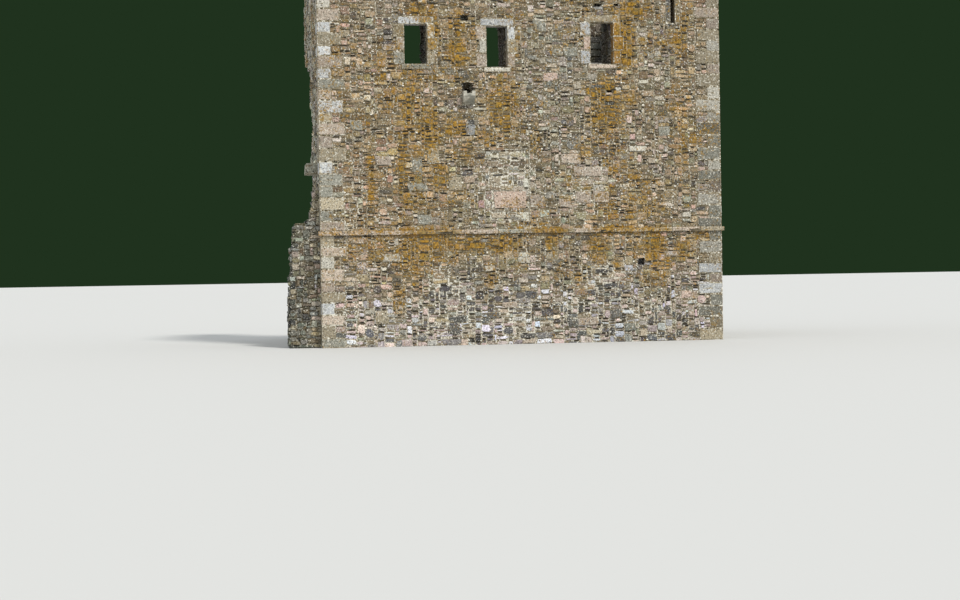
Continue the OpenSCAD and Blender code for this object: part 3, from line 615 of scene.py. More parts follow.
def model_chip(seed):
    """A small uneven lump in a unit cube, for a crumb of lime or the painted shade of an open joint."""
    chip = start_cube()
    select_top()
    bpy.ops.mesh.inset(thickness=0.16, depth=0.0)
    bpy.ops.transform.translate(value=(0, 0, 0.2))
    return seat_back(roughen(chip, 0.16, seed), 0.5, 1.3)


def model_block(seed):
    """A dressed block in a unit cube, with worn edges and slightly uneven faces."""
    block = start_cube()
    bpy.ops.mesh.bevel(offset=0.10, segments=1)
    bpy.ops.mesh.select_all(action="SELECT")
    bpy.ops.mesh.subdivide(number_cuts=1)
    pattern = roughen(block, 0.024, seed)
    pattern["points"] += 0.5
    return pattern


def model_string_stone(seed):
    """A string course stone in a unit cube: X along it, Y out of the wall from 0 to 1, Z up, with
    a sloped top."""
    stone = start_cube((0.5, 0.5, 0.5))
    bpy.ops.mesh.subdivide(number_cuts=3)
    bm = bmesh.from_edit_mesh(stone.data)
    bpy.ops.mesh.select_all(action="DESELECT")
    bpy.ops.mesh.select_mode(type="VERT")
    for v in bm.verts:
        place = stone.matrix_world @ v.co
        v.select_set(place.y > 0.9 and place.z > 0.9)
    bm.select_flush_mode()
    bmesh.update_edit_mesh(stone.data)
    bpy.ops.transform.translate(value=(0, 0, -0.40))
    pattern = roughen(stone, 0.035, seed)
    points = pattern["points"]
    points[:, 0] = np.clip(points[:, 0], 0.0, 1.0)
    points[:, 1] = np.where(points[:, 1] < 0.1, 0.0, points[:, 1])
    return pattern


def stretched(points, sizes, margin=0.10, edge=0.022):
    """Fits unit-cube points to a size, with edges of the same width on every side."""
    result = np.empty_like(points)
    for k in range(3):
        t, size = points[:, k], sizes[k]
        e = min(edge, size * 0.2)
        result[:, k] = np.interp(t, [-0.1, 0, margin, 1 - margin, 1, 1.1],
                                 [-e, 0, e, size - e, size, size + e])
    return result


def blocks_of(name):
    """The boxes of the separate stones that a node of stacked square blocks stands for."""
    tri = corners_of(name)
    levels = []
    for z in np.sort(tri[:, :, 2].ravel()):
        if not levels or z - levels[-1] > 0.004:
            levels.append(float(z))
    boxes = []
    for low, high in zip(levels, levels[1:]):
        middle = (low + high) / 2
        cuts = []
        for t in tri:
            above = t[:, 2] > middle
            if above.all() or not above.any():
                continue
            ends = []
            for i in range(3):
                a, b = t[i], t[(i + 1) % 3]
                if (a[2] > middle) != (b[2] > middle):
                    ends.append(a + (b - a) * (middle - a[2]) / (b[2] - a[2]))
            cuts.append([tuple(np.round(e[:2], 3)) for e in ends])
        groups = []
        for a, b in cuts:
            touching = [g for g in groups if a in g or b in g]
            merged = {a, b}.union(*touching)
            groups = [g for g in groups if g not in touching] + [merged]
        for g in groups:
            p = np.array(list(g))
            if len(p) < 3:
                continue
            for start, end in boxes:
                if end[2] == low and np.abs([start[:2] - p.min(0), end[:2] - p.max(0)]).max() < 0.002:
                    end[2] = high
                    break
            else:
                boxes.append((np.array([*p.min(0), low]), np.array([*p.max(0), high])))
    return boxes


# Colours of single stones

def draws(number):
    """The random draws of one step of the laying."""
    return np.random.default_rng(bpy.context.scene.keep_stones.seed * 1000 + number)


def one_of(rng, patterns):
    return patterns[rng.integers(len(patterns))]


def kind_colour(kind, value=1.0):
    """The colour of a kind of stone, made lighter or darker by a value."""
    return np.array(getattr(bpy.context.scene.keep_colours, kind)) * value


KINDS = ["brown", "tan", "grey", "dark", "pink", "pale"]
# How often each kind comes in each sort of wall, and how that changes at some places of the front:
# at its foot, in the walled-up doorway's upper and lower half, and in some patches
SHARES = {
    "front": [0.30, 0.29, 0.17, 0.05, 0.14, 0.05],
    "side": [0.32, 0.26, 0.20, 0.06, 0.12, 0.04],
    "inner": [0.30, 0.22, 0.28, 0.08, 0.09, 0.03],
    "core": [0.20, 0.09, 0.44, 0.18, 0.03, 0.06],
    "stub": [0.20, 0.09, 0.44, 0.18, 0.03, 0.06],
    "floor": [0.50, 0.06, 0.24, 0.18, 0.02, 0.00],
}
FOOT_CHANGE = np.array([-0.27, -0.12, 0.04, 0.28, 0.24, 0.14])
INFILL_UPPER_CHANGE = np.array([-0.10, -0.05, 0.25, 0.06, 0.10, 0.02])
INFILL_LOWER_CHANGE = np.array([-0.25, -0.05, 0.05, -0.03, 0.40, 0.12])
GREYISH_CHANGE = np.array([-0.25, -0.05, 0.35, 0.02, 0.10, 0.03])
PINKISH_CHANGE = np.array([-0.25, -0.05, 0.00, -0.05, 0.60, 0.10])
DARK_CHANGE = np.array([-0.10, -0.40, 0.30, 1.50, -0.30, -0.20])
CORNER_PINK_AND_PAINTED_LIGHT_CHANGE = np.array([0.00, 0.20, -0.20, -0.16, 0.35, 0.04])
# Where the stones of the front are greyer or pinker: name, x, z, half width, half height
GREYISH_PATCHES = [
    ("between the right windows", 0.90, 6.60, 1.00, 2.00),
    ("below them", 1.35, 5.00, 0.80, 0.90),
]
PINKISH_PATCHES = [
    ("right of the infill", 1.60, 3.90, 1.00, 1.00),
    ("foot, far right", 4.30, 1.00, 0.80, 1.20),
    ("foot, far left", -4.50, 1.00, 0.80, 1.60),
]
# How much the stones of a wall differ in lightness, and how light they are. The inner stones, the vault's
# too, are darkened as painted shade of the roofless inside and the window reveals. The core stones are
# lightened as painted light on the left flank, which lies in shade, and the wall heads get that lightness too
SPREAD = {"front": 0.22, "core": 0.32, "stub": 0.34}
LIGHTNESS = {"inner": 0.50, "core": 1.30, "stub": 0.66}
# The yard wall's stones right of this x stand in the corner with the keep. They lean to pink and tan kinds
# over grey and dark ones, and they are lightened as painted light against the corner's shade
CORNER_X = -5.24


def patch(x, z, middle_x, middle_z, half_wide, half_high):
    """1 in the middle of an oval, 0 outside it."""
    return max(0.0, 1 - math.hypot((x - middle_x) / half_wide, (z - middle_z) / half_high))


def most(x, z, patches):
    """How deep a place lies in the patches of a list, in the one that holds it best."""
    return max(patch(x, z, *spot[1:5]) for spot in patches)


def strongest(x, z, patches):
    """The same for patches that end with a strength, with a fuller middle."""
    return max(patch(x, z, *spot[1:5]) ** 0.5 * spot[5] for spot in patches)


def stone_colour(rng, where, at):
    """One rubble stone's own colour, by wall and height."""
    x, _y, z = at
    shares = np.array(SHARES[where])
    low = max(0.0, 1 - z / FOOT_TOP)
    painted_light_corner = where == "stub" and x > CORNER_X
    if where == "front":
        shares += low * FOOT_CHANGE
        if -0.96 < x < 0.16 and 3.0 < z < 4.8:
            shares += INFILL_UPPER_CHANGE if z > 3.85 else INFILL_LOWER_CHANGE
        shares += most(x, z, GREYISH_PATCHES) * GREYISH_CHANGE
        shares += most(x, z, PINKISH_PATCHES) * PINKISH_CHANGE
        shares += most(x, z, DARK_PATCHES) * DARK_CHANGE
    elif painted_light_corner:
        shares += CORNER_PINK_AND_PAINTED_LIGHT_CHANGE
    shares = np.clip(shares, 0.004, None)
    kind = KINDS[rng.choice(6, p=shares / shares.sum())]
    value = rng.lognormal(0.0, SPREAD.get(where, 0.20)) * LIGHTNESS.get(where, 1.0)
    # painted light: the corner's stones are made twice as light against its shade
    if painted_light_corner:
        value *= 2.0
    if kind == "tan":
        value = min(value, 1.3)
    elif kind == "pale":
        kind = "frost" if z < FOOT_TOP else kind
        value = min(value, 1.05)
    warmth, rose = rng.normal(0, 0.035), rng.normal(0.004, 0.026)
    if where == "front":
        warmth += (0.05 if kind == "pale" else 0.20) * strongest(x, z, WASH_PATCHES)
        warmth += 0.09 * strongest(x, z, OCHRE_PATCHES)
        # the fields left and right of the middle are warmer, the foot is cooler, pinker and lighter
        sides = min(1.0, max(0.0, (abs(x) - 1.6) / 0.8)) * (1 - low)
        warmth += 0.035 * sides - 0.07 * low
        rose += 0.006 + (0.018 if x < 0 else 0.010) * max(sides, low)
        value *= 1 + low * float(np.interp(x, [-2.2, -1.2, 1.4, 2.2], [0.44, 0.38, 0.38, 0.08]))
        value *= float(np.interp(z, [6.4, 7.6], [1.0, 0.88]))
    if where == "stub" and not painted_light_corner:
        warmth, rose = warmth - 0.01, rose - 0.012
    hue = np.array([1 + 0.6 * warmth + rose, 1 - 0.12 * warmth - rose, 1 - 1.4 * warmth + rose])
    return np.clip(kind_colour(kind, value) * hue, 0.02, 0.85)


# A dressed stone is high from this z on, and at the right corner from this x on
BLOCK_HIGH = 5.8
BLOCK_RIGHT = 4.0
# Kinds of dressed stone high up and below, how often each comes, and how light they are
BLOCK_KINDS = {
    "high": ["pink", "frost", "pale", "tan", "grey", "brown"],
    "low": ["pink", "rose", "pale", "tan", "grey"],
}
BLOCK_SHARES = {
    ("high", "left"): [0.30, 0.18, 0.10, 0.18, 0.14, 0.10],
    ("high", "right"): [0.26, 0.02, 0.04, 0.24, 0.20, 0.24],
    ("low", "left"): [0.44, 0.14, 0.10, 0.20, 0.12],
    ("low", "right"): [0.26, 0.06, 0.10, 0.20, 0.38],
}
BLOCK_LIGHTNESS = {
    ("high", "left"): 0.96,
    ("high", "right"): 0.76,
    ("low", "left"): 1.02,
    ("low", "right"): 0.63,
}


def block_colour(rng, name, low, high):
    """One dressed block's own colour."""
    set_kinds = [b[2:] for b in BLOCKS if low[0] < b[0] < high[0] and low[2] < b[1] < high[2]]
    level = "high" if low[2] > BLOCK_HIGH else "low"
    place = level, "right" if low[0] > BLOCK_RIGHT else "left"
    if name == "slit_window_frame":
        kind, value = rng.choice(["grey", "brown", "dark"]), 1.0
    elif low[1] < FRONT and set_kinds:
        kind, value = set_kinds[0]
    else:
        kind, value = rng.choice(BLOCK_KINDS[level], p=BLOCK_SHARES[place]), BLOCK_LIGHTNESS[place]
        if place == ("low", "right"):
            value *= rng.lognormal(0.0, 0.20)
    value *= rng.lognormal(0.0, 0.04 if set_kinds else 0.15)
    return np.clip(kind_colour(kind, value), 0.05, 0.85)


# Materials

class Shade:
    """Adds nodes to a material, a group or a world and links them. A socket given as a value is
    linked, and any other value is set."""

    def __init__(self, tree):
        self.tree = tree

    def node(self, kind, sockets=(), **settings):
        n = self.tree.nodes.new(kind)
        for key, value in settings.items():
            setattr(n, key, value)
        for key, value in dict(sockets).items():
            if isinstance(value, bpy.types.NodeSocket):
                self.tree.links.new(value, n.inputs[key])
            else:
                n.inputs[key].default_value = value
        return n

    def noise(self, vector, scale, detail=4.0, rough=0.6, out="Fac"):
        return self.node("ShaderNodeTexNoise", {"Vector": vector, "Scale": scale, "Detail": detail,
                                                "Roughness": rough}).outputs[out]

    def band(self, value, low, high, to_low=0.0, to_high=1.0):
        n = self.node("ShaderNodeMapRange", {"Value": value, "From Min": low, "From Max": high,
                                             "To Min": to_low, "To Max": to_high},
                      interpolation_type="SMOOTHSTEP")
        return n.outputs["Result"]

    def math(self, operation, a, b=0.0):
        return self.node("ShaderNodeMath", {0: a, 1: b}, operation=operation).outputs[0]

    def vary(self, value, by, amount):
        """A value that goes up and down as another swings about 0.5."""
        return self.math("ADD", value, self.math("MULTIPLY", self.math("SUBTRACT", by, 0.5), amount))

    def times(self, colour, factor):
        """A colour made lighter or darker by a factor."""
        grey = self.node("ShaderNodeCombineXYZ", {0: factor, 1: factor, 2: factor}).outputs[0]
        return self.mix(1.0, colour, grey, "MULTIPLY")

    def mix(self, factor, a, b, blend="MIX"):
        """Mixes two colours, each a socket or the name of one of the keep's colours."""
        a, b = ((*kind_colour(c), 1.0) if isinstance(c, str) else c for c in (a, b))
        n = self.node("ShaderNodeMix", {0: factor, 6: a, 7: b}, data_type="RGBA", blend_type=blend)
        return n.outputs[2]


def growth_group(name, patches, everywhere, foot=1.0):
    """How thick something grows or lies at a place: named patches on the front, and elsewhere a thin
    cover, of which foot is the share at the foot of the walls."""
    group = bpy.data.node_groups.new(name, "ShaderNodeTree")
    group.interface.new_socket("Place", in_out="INPUT", socket_type="NodeSocketVector")
    group.interface.new_socket("Growth", in_out="OUTPUT", socket_type="NodeSocketFloat")
    s = Shade(group)
    source = s.node("NodeGroupInput").outputs["Place"]
    total = s.band(s.noise(source, 0.55, 3.0), 0.40, 0.72, 0.0, everywhere)
    height = s.node("ShaderNodeSeparateXYZ", {0: source}).outputs[2]
    total = s.math("MULTIPLY", total, s.band(height, 0.6, 2.2, foot, 1.0))
    for _name, x, z, half_wide, half_high, thick in patches:
        away = s.node("ShaderNodeVectorMath", {0: source, 1: (x, FRONT, z)}, operation="SUBTRACT").outputs[0]
        away = s.node("ShaderNodeVectorMath", {0: away, 1: (1 / half_wide, 1.6, 1 / half_high)},
                      operation="MULTIPLY").outputs[0]
        away = s.node("ShaderNodeVectorMath", {0: away}, operation="LENGTH").outputs["Value"]
        total = s.math("MAXIMUM", total, s.band(away, 0.25, 1.75, thick, 0.0))
    out = s.node("NodeGroupOutput")
    group.links.new(total, out.inputs["Growth"])
    return group


def start_material(name):
    m = bpy.data.materials.new(name)
    m.use_nodes = True
    m.node_tree.nodes.clear()
    s = Shade(m.node_tree)
    return m, s, s.node("ShaderNodeTexCoord").outputs["Object"]


def end_material(s, place, colour, rough, specular, bump_scale, bump_strength):
    """Closes a material with a rough shader and a fine bump."""
    bump = s.node("ShaderNodeBump", {"Strength": bump_strength, "Distance": 0.012,
                                     "Height": s.noise(place, bump_scale, 4.0, 0.7)}).outputs["Normal"]
    shader = s.node("ShaderNodeBsdfPrincipled", {"Base Color": colour, "Roughness": rough, "Normal": bump,
                                                 "Specular IOR Level": specular})
    s.node("ShaderNodeOutputMaterial", {"Surface": shader.outputs["BSDF"]})


def grown(s, place, group):
    """The value of a growth group at a place."""
    n = s.node("ShaderNodeGroup", node_tree=group)
    s.tree.links.new(place, n.inputs["Place"])
    return n.outputs["Growth"]


def ochre_over(s, place, colour, growth, lichen, densest, own=None):
    """Ochre lichen over a colour, with a speckled edge. own is a stone's own liking for it."""
    edge = s.math("MULTIPLY", grown(s, place, growth), 0.84 * lichen)
    if own is not None:
        edge = s.vary(edge, own, 0.22)
    edge = s.vary(edge, s.noise(place, 4.6, 4.0, 0.7), -1.5)
    edge = s.vary(edge, s.noise(place, 20.0, 3.0, 0.7), -2.3)
    cover = s.band(edge, 0.12, 0.75, 0.0, densest)
    tone = s.band(s.noise(place, 17.0, 4.0, 0.75), 0.32, 0.68, 0.28, 1.50)
    olive = s.band(s.noise(place, 6.0, 3.0, 0.6), 0.46, 0.66, 0.0, 0.85)
    return s.mix(cover, colour, s.times(s.mix(olive, "ochre", "olive"), tone))


def stone_material(name, growth, lichen=1.0, flecks=1.0):
    """Rubble and dressed stone: the stone's own colour, grain, dark and pale flecks, lichen."""
    m, s, place = start_material(name)
    tint = s.node("ShaderNodeAttribute", (), attribute_name="stone")
    grain = s.band(s.noise(place, 29.0, 4.0, 0.75), 0.30, 0.70, 0.50, 1.42)
    colour = s.times(tint.outputs["Color"], grain)
    thin = s.band(s.noise(place, 8.0, 4.0, 0.65), 0.54, 0.70, 0.0, 0.45)
    colour = s.mix(thin, colour, "moss")
    pale = s.band(s.noise(place, 26.0, 2.0, 0.6), 0.590, 0.655, 0.0, 0.80 * flecks)
    colour = s.mix(pale, colour, "lime")
    if lichen:
        colour = ochre_over(s, place, colour, growth, lichen, 0.90, tint.outputs["Alpha"])
    dark = s.band(s.noise(place, 23.0, 2.0, 0.6), 0.355, 0.425, 0.88 * flecks, 0.0)
    colour = s.mix(dark, colour, "washed")
    end_material(s, place, colour, 0.92, 0.25, 26.0, 0.5)
    return m


def mortar_material(name, growth, limed, lime=0.0, lichen=1.0):
    """The bed between the stones: dark holes painted near black as their shade, brown earth and crumbs of
    pale lime.
    """
    m, s, place = start_material(name)
    height = s.node("ShaderNodeSeparateXYZ", {0: place}).outputs[2]
    much = s.math("ADD", s.band(height, 0.5, 2.3, 0.45, 0.0), lime)
    much = s.math("MAXIMUM", much, grown(s, place, limed))
    grain = s.math("ADD", s.noise(place, 25.0, 2.5, 0.6), s.math("MULTIPLY", much, 0.115))
    earthy = s.mix(s.band(s.noise(place, 1.7, 3.0), 0.40, 0.60), "brown", "tan")
    # the darkest grain is painted shade, the near black of holes where the mortar is gone
    colour = s.mix(s.band(grain, 0.385, 0.430), "washed", earthy)
    colour = s.mix(s.band(grain, 0.560, 0.600, 0.0, 0.92), colour, "lime")
    if lichen:
        colour = ochre_over(s, place, colour, growth, lichen, 0.55)
    end_material(s, place, colour, 0.97, 0.1, 40.0, 0.6)
    return m


def plain_material(name, base, other, growth=None, lichen=0.0):
    """Stone or earth of single solids: a base colour with veins of another, lichen and speckle."""
    m, s, place = start_material(name)
    veins = s.band(s.noise(place, 2.6, 3.0), 0.4, 0.62)
    speckle = s.band(s.noise(place, 30.0, 5.0, 0.7), 0.25, 0.75, 0.65, 1.25)
    colour = s.times(s.mix(veins, base, other), speckle)
    if lichen:
        colour = ochre_over(s, place, colour, growth, lichen, 0.75)
    end_material(s, place, colour, 0.93, 0.2, 24.0, 0.5)
    return m


# The pattern stones and the finishes, filled by kit()
KIT = {}


def kit():
    """The pattern stones and the finishes, made once."""
    if not KIT:
        growth = growth_group("ochre_growth", OCHRE_PATCHES, 0.60, 0.1)
        limed = growth_group("lime_left", LIME_PATCHES, 0.25)
        KIT["rubble"] = [model_rubble_stone(i + 1, i % 5) for i in range(20)]
        KIT["chips"] = [model_chip(i + 1) for i in range(8)]
        KIT["blocks"] = [model_block(i + 1) for i in range(6)]
        KIT["string"] = [model_string_stone(i + 1) for i in range(4)]
        KIT["stone"] = stone_material("rubble_stone", growth)
        KIT["dressed"] = stone_material("dressed_stone", growth, 0.60, 0.9)
        KIT["worn"] = stone_material("string_course_stone", growth, 1.15)
        KIT["core"] = stone_material("core_stone", growth, 0.0)
        KIT["mortar"] = mortar_material("wall_mortar", growth, limed)
        KIT["grey_mortar"] = mortar_material("core_mortar", growth, limed, -0.2, 0.0)
        KIT["patch_mortar"] = mortar_material("infill_mortar", growth, limed, 0.75, 0.0)
        # painted shade, for the open joints and for the dark line under the string course
        KIT["shade"] = plain_material("painted_joint_shade", "washed", "brown")
        KIT["carved"] = plain_material("carved_stone", "grey", "pale", growth, 0.3)
        KIT["earth"] = plain_material("trodden_earth", "earth", "washed")
    return KIT


def finish_node(name, material):
    """Gives a solid its finish, in every slot it has."""
    slots = NODES[name].material_slots
    for s in slots:
        s.material = material
    if not slots:
        NODES[name].data.materials.append(material)


# How high the rim of a pattern stone's face lies, as a share of its height
RIM = 0.77
# How much stones stand askew: their upright joints, their level joints, and their faces, in metres
SLEW, TURN, LEAN = 0.05, 0.05, 0.006
MOST_TURN = 0.1
# How much a stone over a larger one of the solids is longer, higher and further out than that, how far
# out its edge lies, and how deep it is set
BOND_LONGER, BOND_HIGHER, BOND_OUT, BOND_EDGE, BOND_TAIL = 0.012, 0.010, 0.014, 0.004, 0.12


def swings(u, v):
    """Small swings of the courses, so that no joint runs dead straight."""
    return (0.006 * np.sin(3.1 * v + 1.7 * u) + 0.004 * np.sin(7.3 * u - 2.2 * v),
            0.014 * np.sin(2.3 * u + 0.9) + 0.009 * np.sin(5.9 * u + 3.0 * v))


def put_stone(rng, pattern, axis, side, offset, box, proud, rim=None, tail=0.025):
    """One rubble stone on a flat face. box is (u0, v0, u1, v1) on the face, proud is how far its
    middle stands out, rim how far its edge does, and tail how deep it is set. Returns its points
    and whether its faces have to be turned round."""
    u, v = across(axis)
    p = pattern["points"]
    a, b = p[:, 0], p[:, 1]
    if rng.random() < 0.5:
        a, b = 1 - a, 1 - b
    u0, v0, u1, v1 = box
    wide, high = u1 - u0, v1 - v0
    slew = rng.normal(0, SLEW)
    turn = np.clip(rng.normal(0, TURN), -MOST_TURN, MOST_TURN)
    lean = rng.normal(0, LEAN)
    place_u = u0 + wide * a + high * slew * (b - 0.5)
    place_v = v0 + high * b + min(wide, 0.3) * turn * (a - 0.5)
    shift_u, shift_v = swings((u0 + u1) / 2, (v0 + v1) / 2)
    places = np.empty_like(p)
    places[:, u] = place_u + shift_u
    places[:, v] = place_v + shift_v
    rim = RIM * proud if rim is None else rim
    out = np.interp(p[:, 2], [0, RIM, 1, 1.1], [-tail, rim, proud, proud + 0.10 * (proud - rim)])
    places[:, axis] = offset + side * (out + lean * (b - 0.5) * 2)
    places[:, 2] = np.maximum(places[:, 2], 0.0)
    # the pattern looks along +Z with X to the right and Y up
    return places, (side > 0) == (axis == 1)


def put_chip(rng, heap, axis, side, offset, middle, size, proud, colour):
    """One chip on a flat face, about a middle (u, v)."""
    pattern = one_of(rng, kit()["chips"])
    (u, v), (wide, high) = middle, size
    box = (u - wide / 2, v - high / 2, u + wide / 2, v + high / 2)
    places, flip = put_stone(rng, pattern, axis, side, offset, box, proud, tail=0.01)
    heap.add(pattern, places, colour, flip, 0.0)


def face_colour(low, high):
    """The set colour of a larger stone of the front."""
    for x, z, kind, value in FACE_STONES:
        if low[0] - 0.01 < x < high[0] + 0.01 and low[2] - 0.01 < z < high[2] + 0.01:
            return kind_colour(kind, value)
    return kind_colour("tan")


def lay_bonds(rng, heap_of, nodes, choose, where):
    """Dresses the single stones that stand out of some walls, one stone over each."""
    plain = [p for i, p in enumerate(kit()["rubble"]) if i % 5 == 0]
    for (axis, side), boxes in BONDS.items():
        u, v = across(axis)
        for name, low, high in boxes:
            plane, face = (low[axis], high[axis]) if side > 0 else (high[axis], low[axis])
            if name not in nodes or not choose(axis, side, plane):
                continue
            out = abs(face - plane)
            box = (low[u] - BOND_LONGER, low[v] - BOND_HIGHER, high[u] + BOND_LONGER, high[v] + BOND_HIGHER)
            pattern = one_of(rng, plain)
            places, flip = put_stone(rng, pattern, axis, side, plane, box, out + BOND_OUT, out + BOND_EDGE,
                                     BOND_TAIL)
            at = (low + high) / 2
            colour = face_colour(low, high) if where == "front" else stone_colour(rng, where, at)
            heap_of(at).add(pattern, places, colour, flip, rng.random())


# Least and greatest of what is drawn for each stone: share of the joint that it keeps clear on a side,
# how far it hangs over a free edge, and how far it is proud against the usual
JOINT_KEPT = (0.15, 0.95)
OVERHANG = (-0.005, 0.015)
PROUD_SHARE = (0.55, 1.35)
# The same for an open joint, its height and length, and for a crumb of lime, its length, height,
# distance from the joint and lightness
OPEN_HIGH, OPEN_LONG = (0.022, 0.038), (0.08, 0.22)
CRUMB_LONG, CRUMB_HIGH = (0.030, 0.055), (0.024, 0.036)
CRUMB_OFF, CRUMB_LIGHT = (-0.02, 0.02), (0.8, 1.2)
# How much wider lime makes an upright and a level joint
UPRIGHT_WIDER, LEVEL_WIDER = 0.1, 0.8
# How far the painted shade of an open joint stands out, and how far a crumb stands out over its stone
OPEN_OUT = CRUMB_OUT = 0.006


def lay_walls(name, nodes, choose, where, material, slot, scale=1.0, proud=None, seed=0, split=None,
              slab=None, least=2, gaps=0.0, crumbs=0.0):
    """Lays rubble on the open flat faces of some nodes and makes one or more pieces of it.
    choose(axis, side, offset) says which faces; split(place) names the piece that a stone goes to;
    slab is a stone with a set place, as INFILL_SLAB; a strip of fewer than least cells stays bare;
    gaps and crumbs are the shares of stones beside an open joint and beside a crumb of lime."""
    stones = bpy.context.scene.keep_stones
    patterns = kit()["rubble"]
    rng = draws(seed)
    heaps = {}
    # the near-black chips in open joints, painted shade of their hollows
    dark = Masonry()

    def heap_of(at):
        return heaps.setdefault(split(at) if split else name, Masonry())

    for axis, side in ((1, -1), (1, 1), (0, -1), (0, 1), (2, 1)):
        for offset, origin, mask, flush in open_faces(nodes, axis, side):
            if not choose(axis, side, offset):
                continue
            if slab:
                u0, v0, u1, v1, kind, value, out = slab
                cells = [int(round((t - origin[i % 2]) / CELL)) for i, t in enumerate((u0, v0, u1, v1))]
                span = slice(cells[1], cells[3]), slice(cells[0], cells[2])
                if min(cells) >= 0 and mask[span].any():
                    mask[span] = False
                    flush[span] = True
                    places, flip = put_stone(rng, patterns[0], axis, side, offset, (u0, v0, u1, v1), out)
                    heap_of(places.mean(0)).add(patterns[0], places, kind_colour(kind, value), flip, 0.3)
            length, height = stones.stone_length * scale, stones.stone_height * scale
            for column, row, w, h in lay_rubble(mask, rng, length, height):
                if min(w, h) < least or w * h < 4:
                    continue
                # lime shows in wide joints, and a stone at a free edge of the wall hangs over it a little
                limed, open_share = 0.0, gaps
                if axis == 1 and where == "front":
                    x, z = origin[0] + (column + w / 2) * CELL, origin[1] + (row + h / 2) * CELL
                    limed = most(x, z, LIME_PATCHES) ** 0.5
                    open_share *= 1 + strongest(x, z, OPEN_JOINTS)
                grow = []
                for wider, block in (
                    (UPRIGHT_WIDER, (slice(row, row + h), slice(column - 2, column))),
                    (LEVEL_WIDER, (slice(row - 2, row), slice(column, column + w))),
                    (UPRIGHT_WIDER, (slice(row, row + h), slice(column + w, column + w + 2))),
                    (LEVEL_WIDER, (slice(row + h, row + h + 2), slice(column, column + w))),
                ):
                    closed = mask[block].any() or flush[block].any()
                    joint = stones.joint * (1 + wider * limed)
                    grow.append(-joint * rng.uniform(*JOINT_KEPT) if closed else rng.uniform(*OVERHANG))
                gap = rng.random() < open_share and grow[3] < 0 and h > 2
                if gap:
                    grow[3] = -rng.uniform(*OPEN_HIGH)
                box = (origin[0] + column * CELL - grow[0], origin[1] + row * CELL - grow[1],
                       origin[0] + (column + w) * CELL + grow[2], origin[1] + (row + h) * CELL + grow[3])
                out = (proud or stones.proud) * rng.uniform(*PROUD_SHARE)
                pattern = one_of(rng, patterns)
                places, flip = put_stone(rng, pattern, axis, side, offset, box, out)
                at = places.mean(0)
                heap_of(at).add(pattern, places, stone_colour(rng, where, at), flip, rng.random())
                # a near-black chip in the open joint under the stone is painted shade
                if gap:
                    long = min(box[2] - box[0], rng.uniform(*OPEN_LONG))
                    middle = (box[0] + long / 2 + (box[2] - box[0] - long) * rng.random(),
                              box[3] - grow[3] / 2 + 0.004)
                    size = long, -grow[3] + 0.014
                    put_chip(rng, dark, axis, side, offset, middle, size, OPEN_OUT, kind_colour("washed"))
                if rng.random() < crumbs and grow[0] < 0:
                    size = rng.uniform(*CRUMB_LONG), rng.uniform(*CRUMB_HIGH)
                    middle = box[0] + rng.uniform(*CRUMB_OFF), box[1] + (box[3] - box[1]) * rng.random()
                    colour = np.clip(kind_colour("lime", rng.uniform(*CRUMB_LIGHT)), 0, 0.95)
                    put_chip(rng, heap_of(at), axis, side, offset, middle, size, out + CRUMB_OUT, colour)
    lay_bonds(rng, heap_of, nodes, choose, where)
    for key, heap in heaps.items():
        heap.build(key, material, slot)
    if dark.places:
        dark.build(name + "_open_joint_shade", kit()["shade"], slot)


def outer_face(wall):
    """A test for the outer faces of one wall."""
    return lambda axis, side, offset: (axis, side) == OUTER[wall] and is_outer(axis, side, offset)


class KEEP_OT_front_rubble(bpy.types.Operator):
    """Lays the rubble of the front wall's outer face"""
    bl_idname = "keep.front_rubble"
    bl_label = "Front rubble"

    def execute(self, context):
        def storey(at):
            level = "low" if at[2] < HALL_LEVEL else "middle" if at[2] < UPPER_LEVEL else "high"
            return "front_rubble_" + level
        lay_walls("front_rubble", WALLS["front"], outer_face("front"), "front", kit()["stone"], "rubble",
                  seed=1, split=storey, gaps=0.60, crumbs=0.20)
        return {"FINISHED"}


class KEEP_OT_other_rubble(bpy.types.Operator):
    """Lays the rubble of the right, left and back walls' outer faces"""
    bl_idname = "keep.other_rubble"
    bl_label = "Side and back rubble"

    def execute(self, context):
        for seed, wall, where, scale, proud in (
            (2, "right", "side", 1.22, None),
            (3, "left", "core", 1.15, 0.034),
            (4, "back", "side", 1.22, None),
        ):
            lay_walls(f"{wall}_rubble", WALL_NODES, outer_face(wall), where, kit()["stone"], "rubble",
                      scale=scale, proud=proud, seed=seed, gaps=0.50, crumbs=0.14)
        return {"FINISHED"}


class KEEP_OT_inner_rubble(bpy.types.Operator):
    """Lays the rubble of the inner faces, the broken edges and the wall heads"""
    bl_idname = "keep.inner_rubble"
    bl_label = "Inner rubble and broken edges"

    def execute(self, context):
        for seed, (side, nodes) in enumerate(WALLS.items()):
            lay_walls(f"{side}_inner_rubble", nodes, lambda a, s, o: a != 2 and not is_outer(a, s, o),
                      "inner", kit()["core"], "rubble", scale=1.70, proud=0.034, seed=10 + seed, least=3)
            lay_walls(f"{side}_wall_tops", nodes, lambda a, s, o: a == 2 and s > 0,
                      "core", kit()["core"], "rubble", scale=1.60, proud=0.050, seed=20 + seed, least=3)
        return {"FINISHED"}


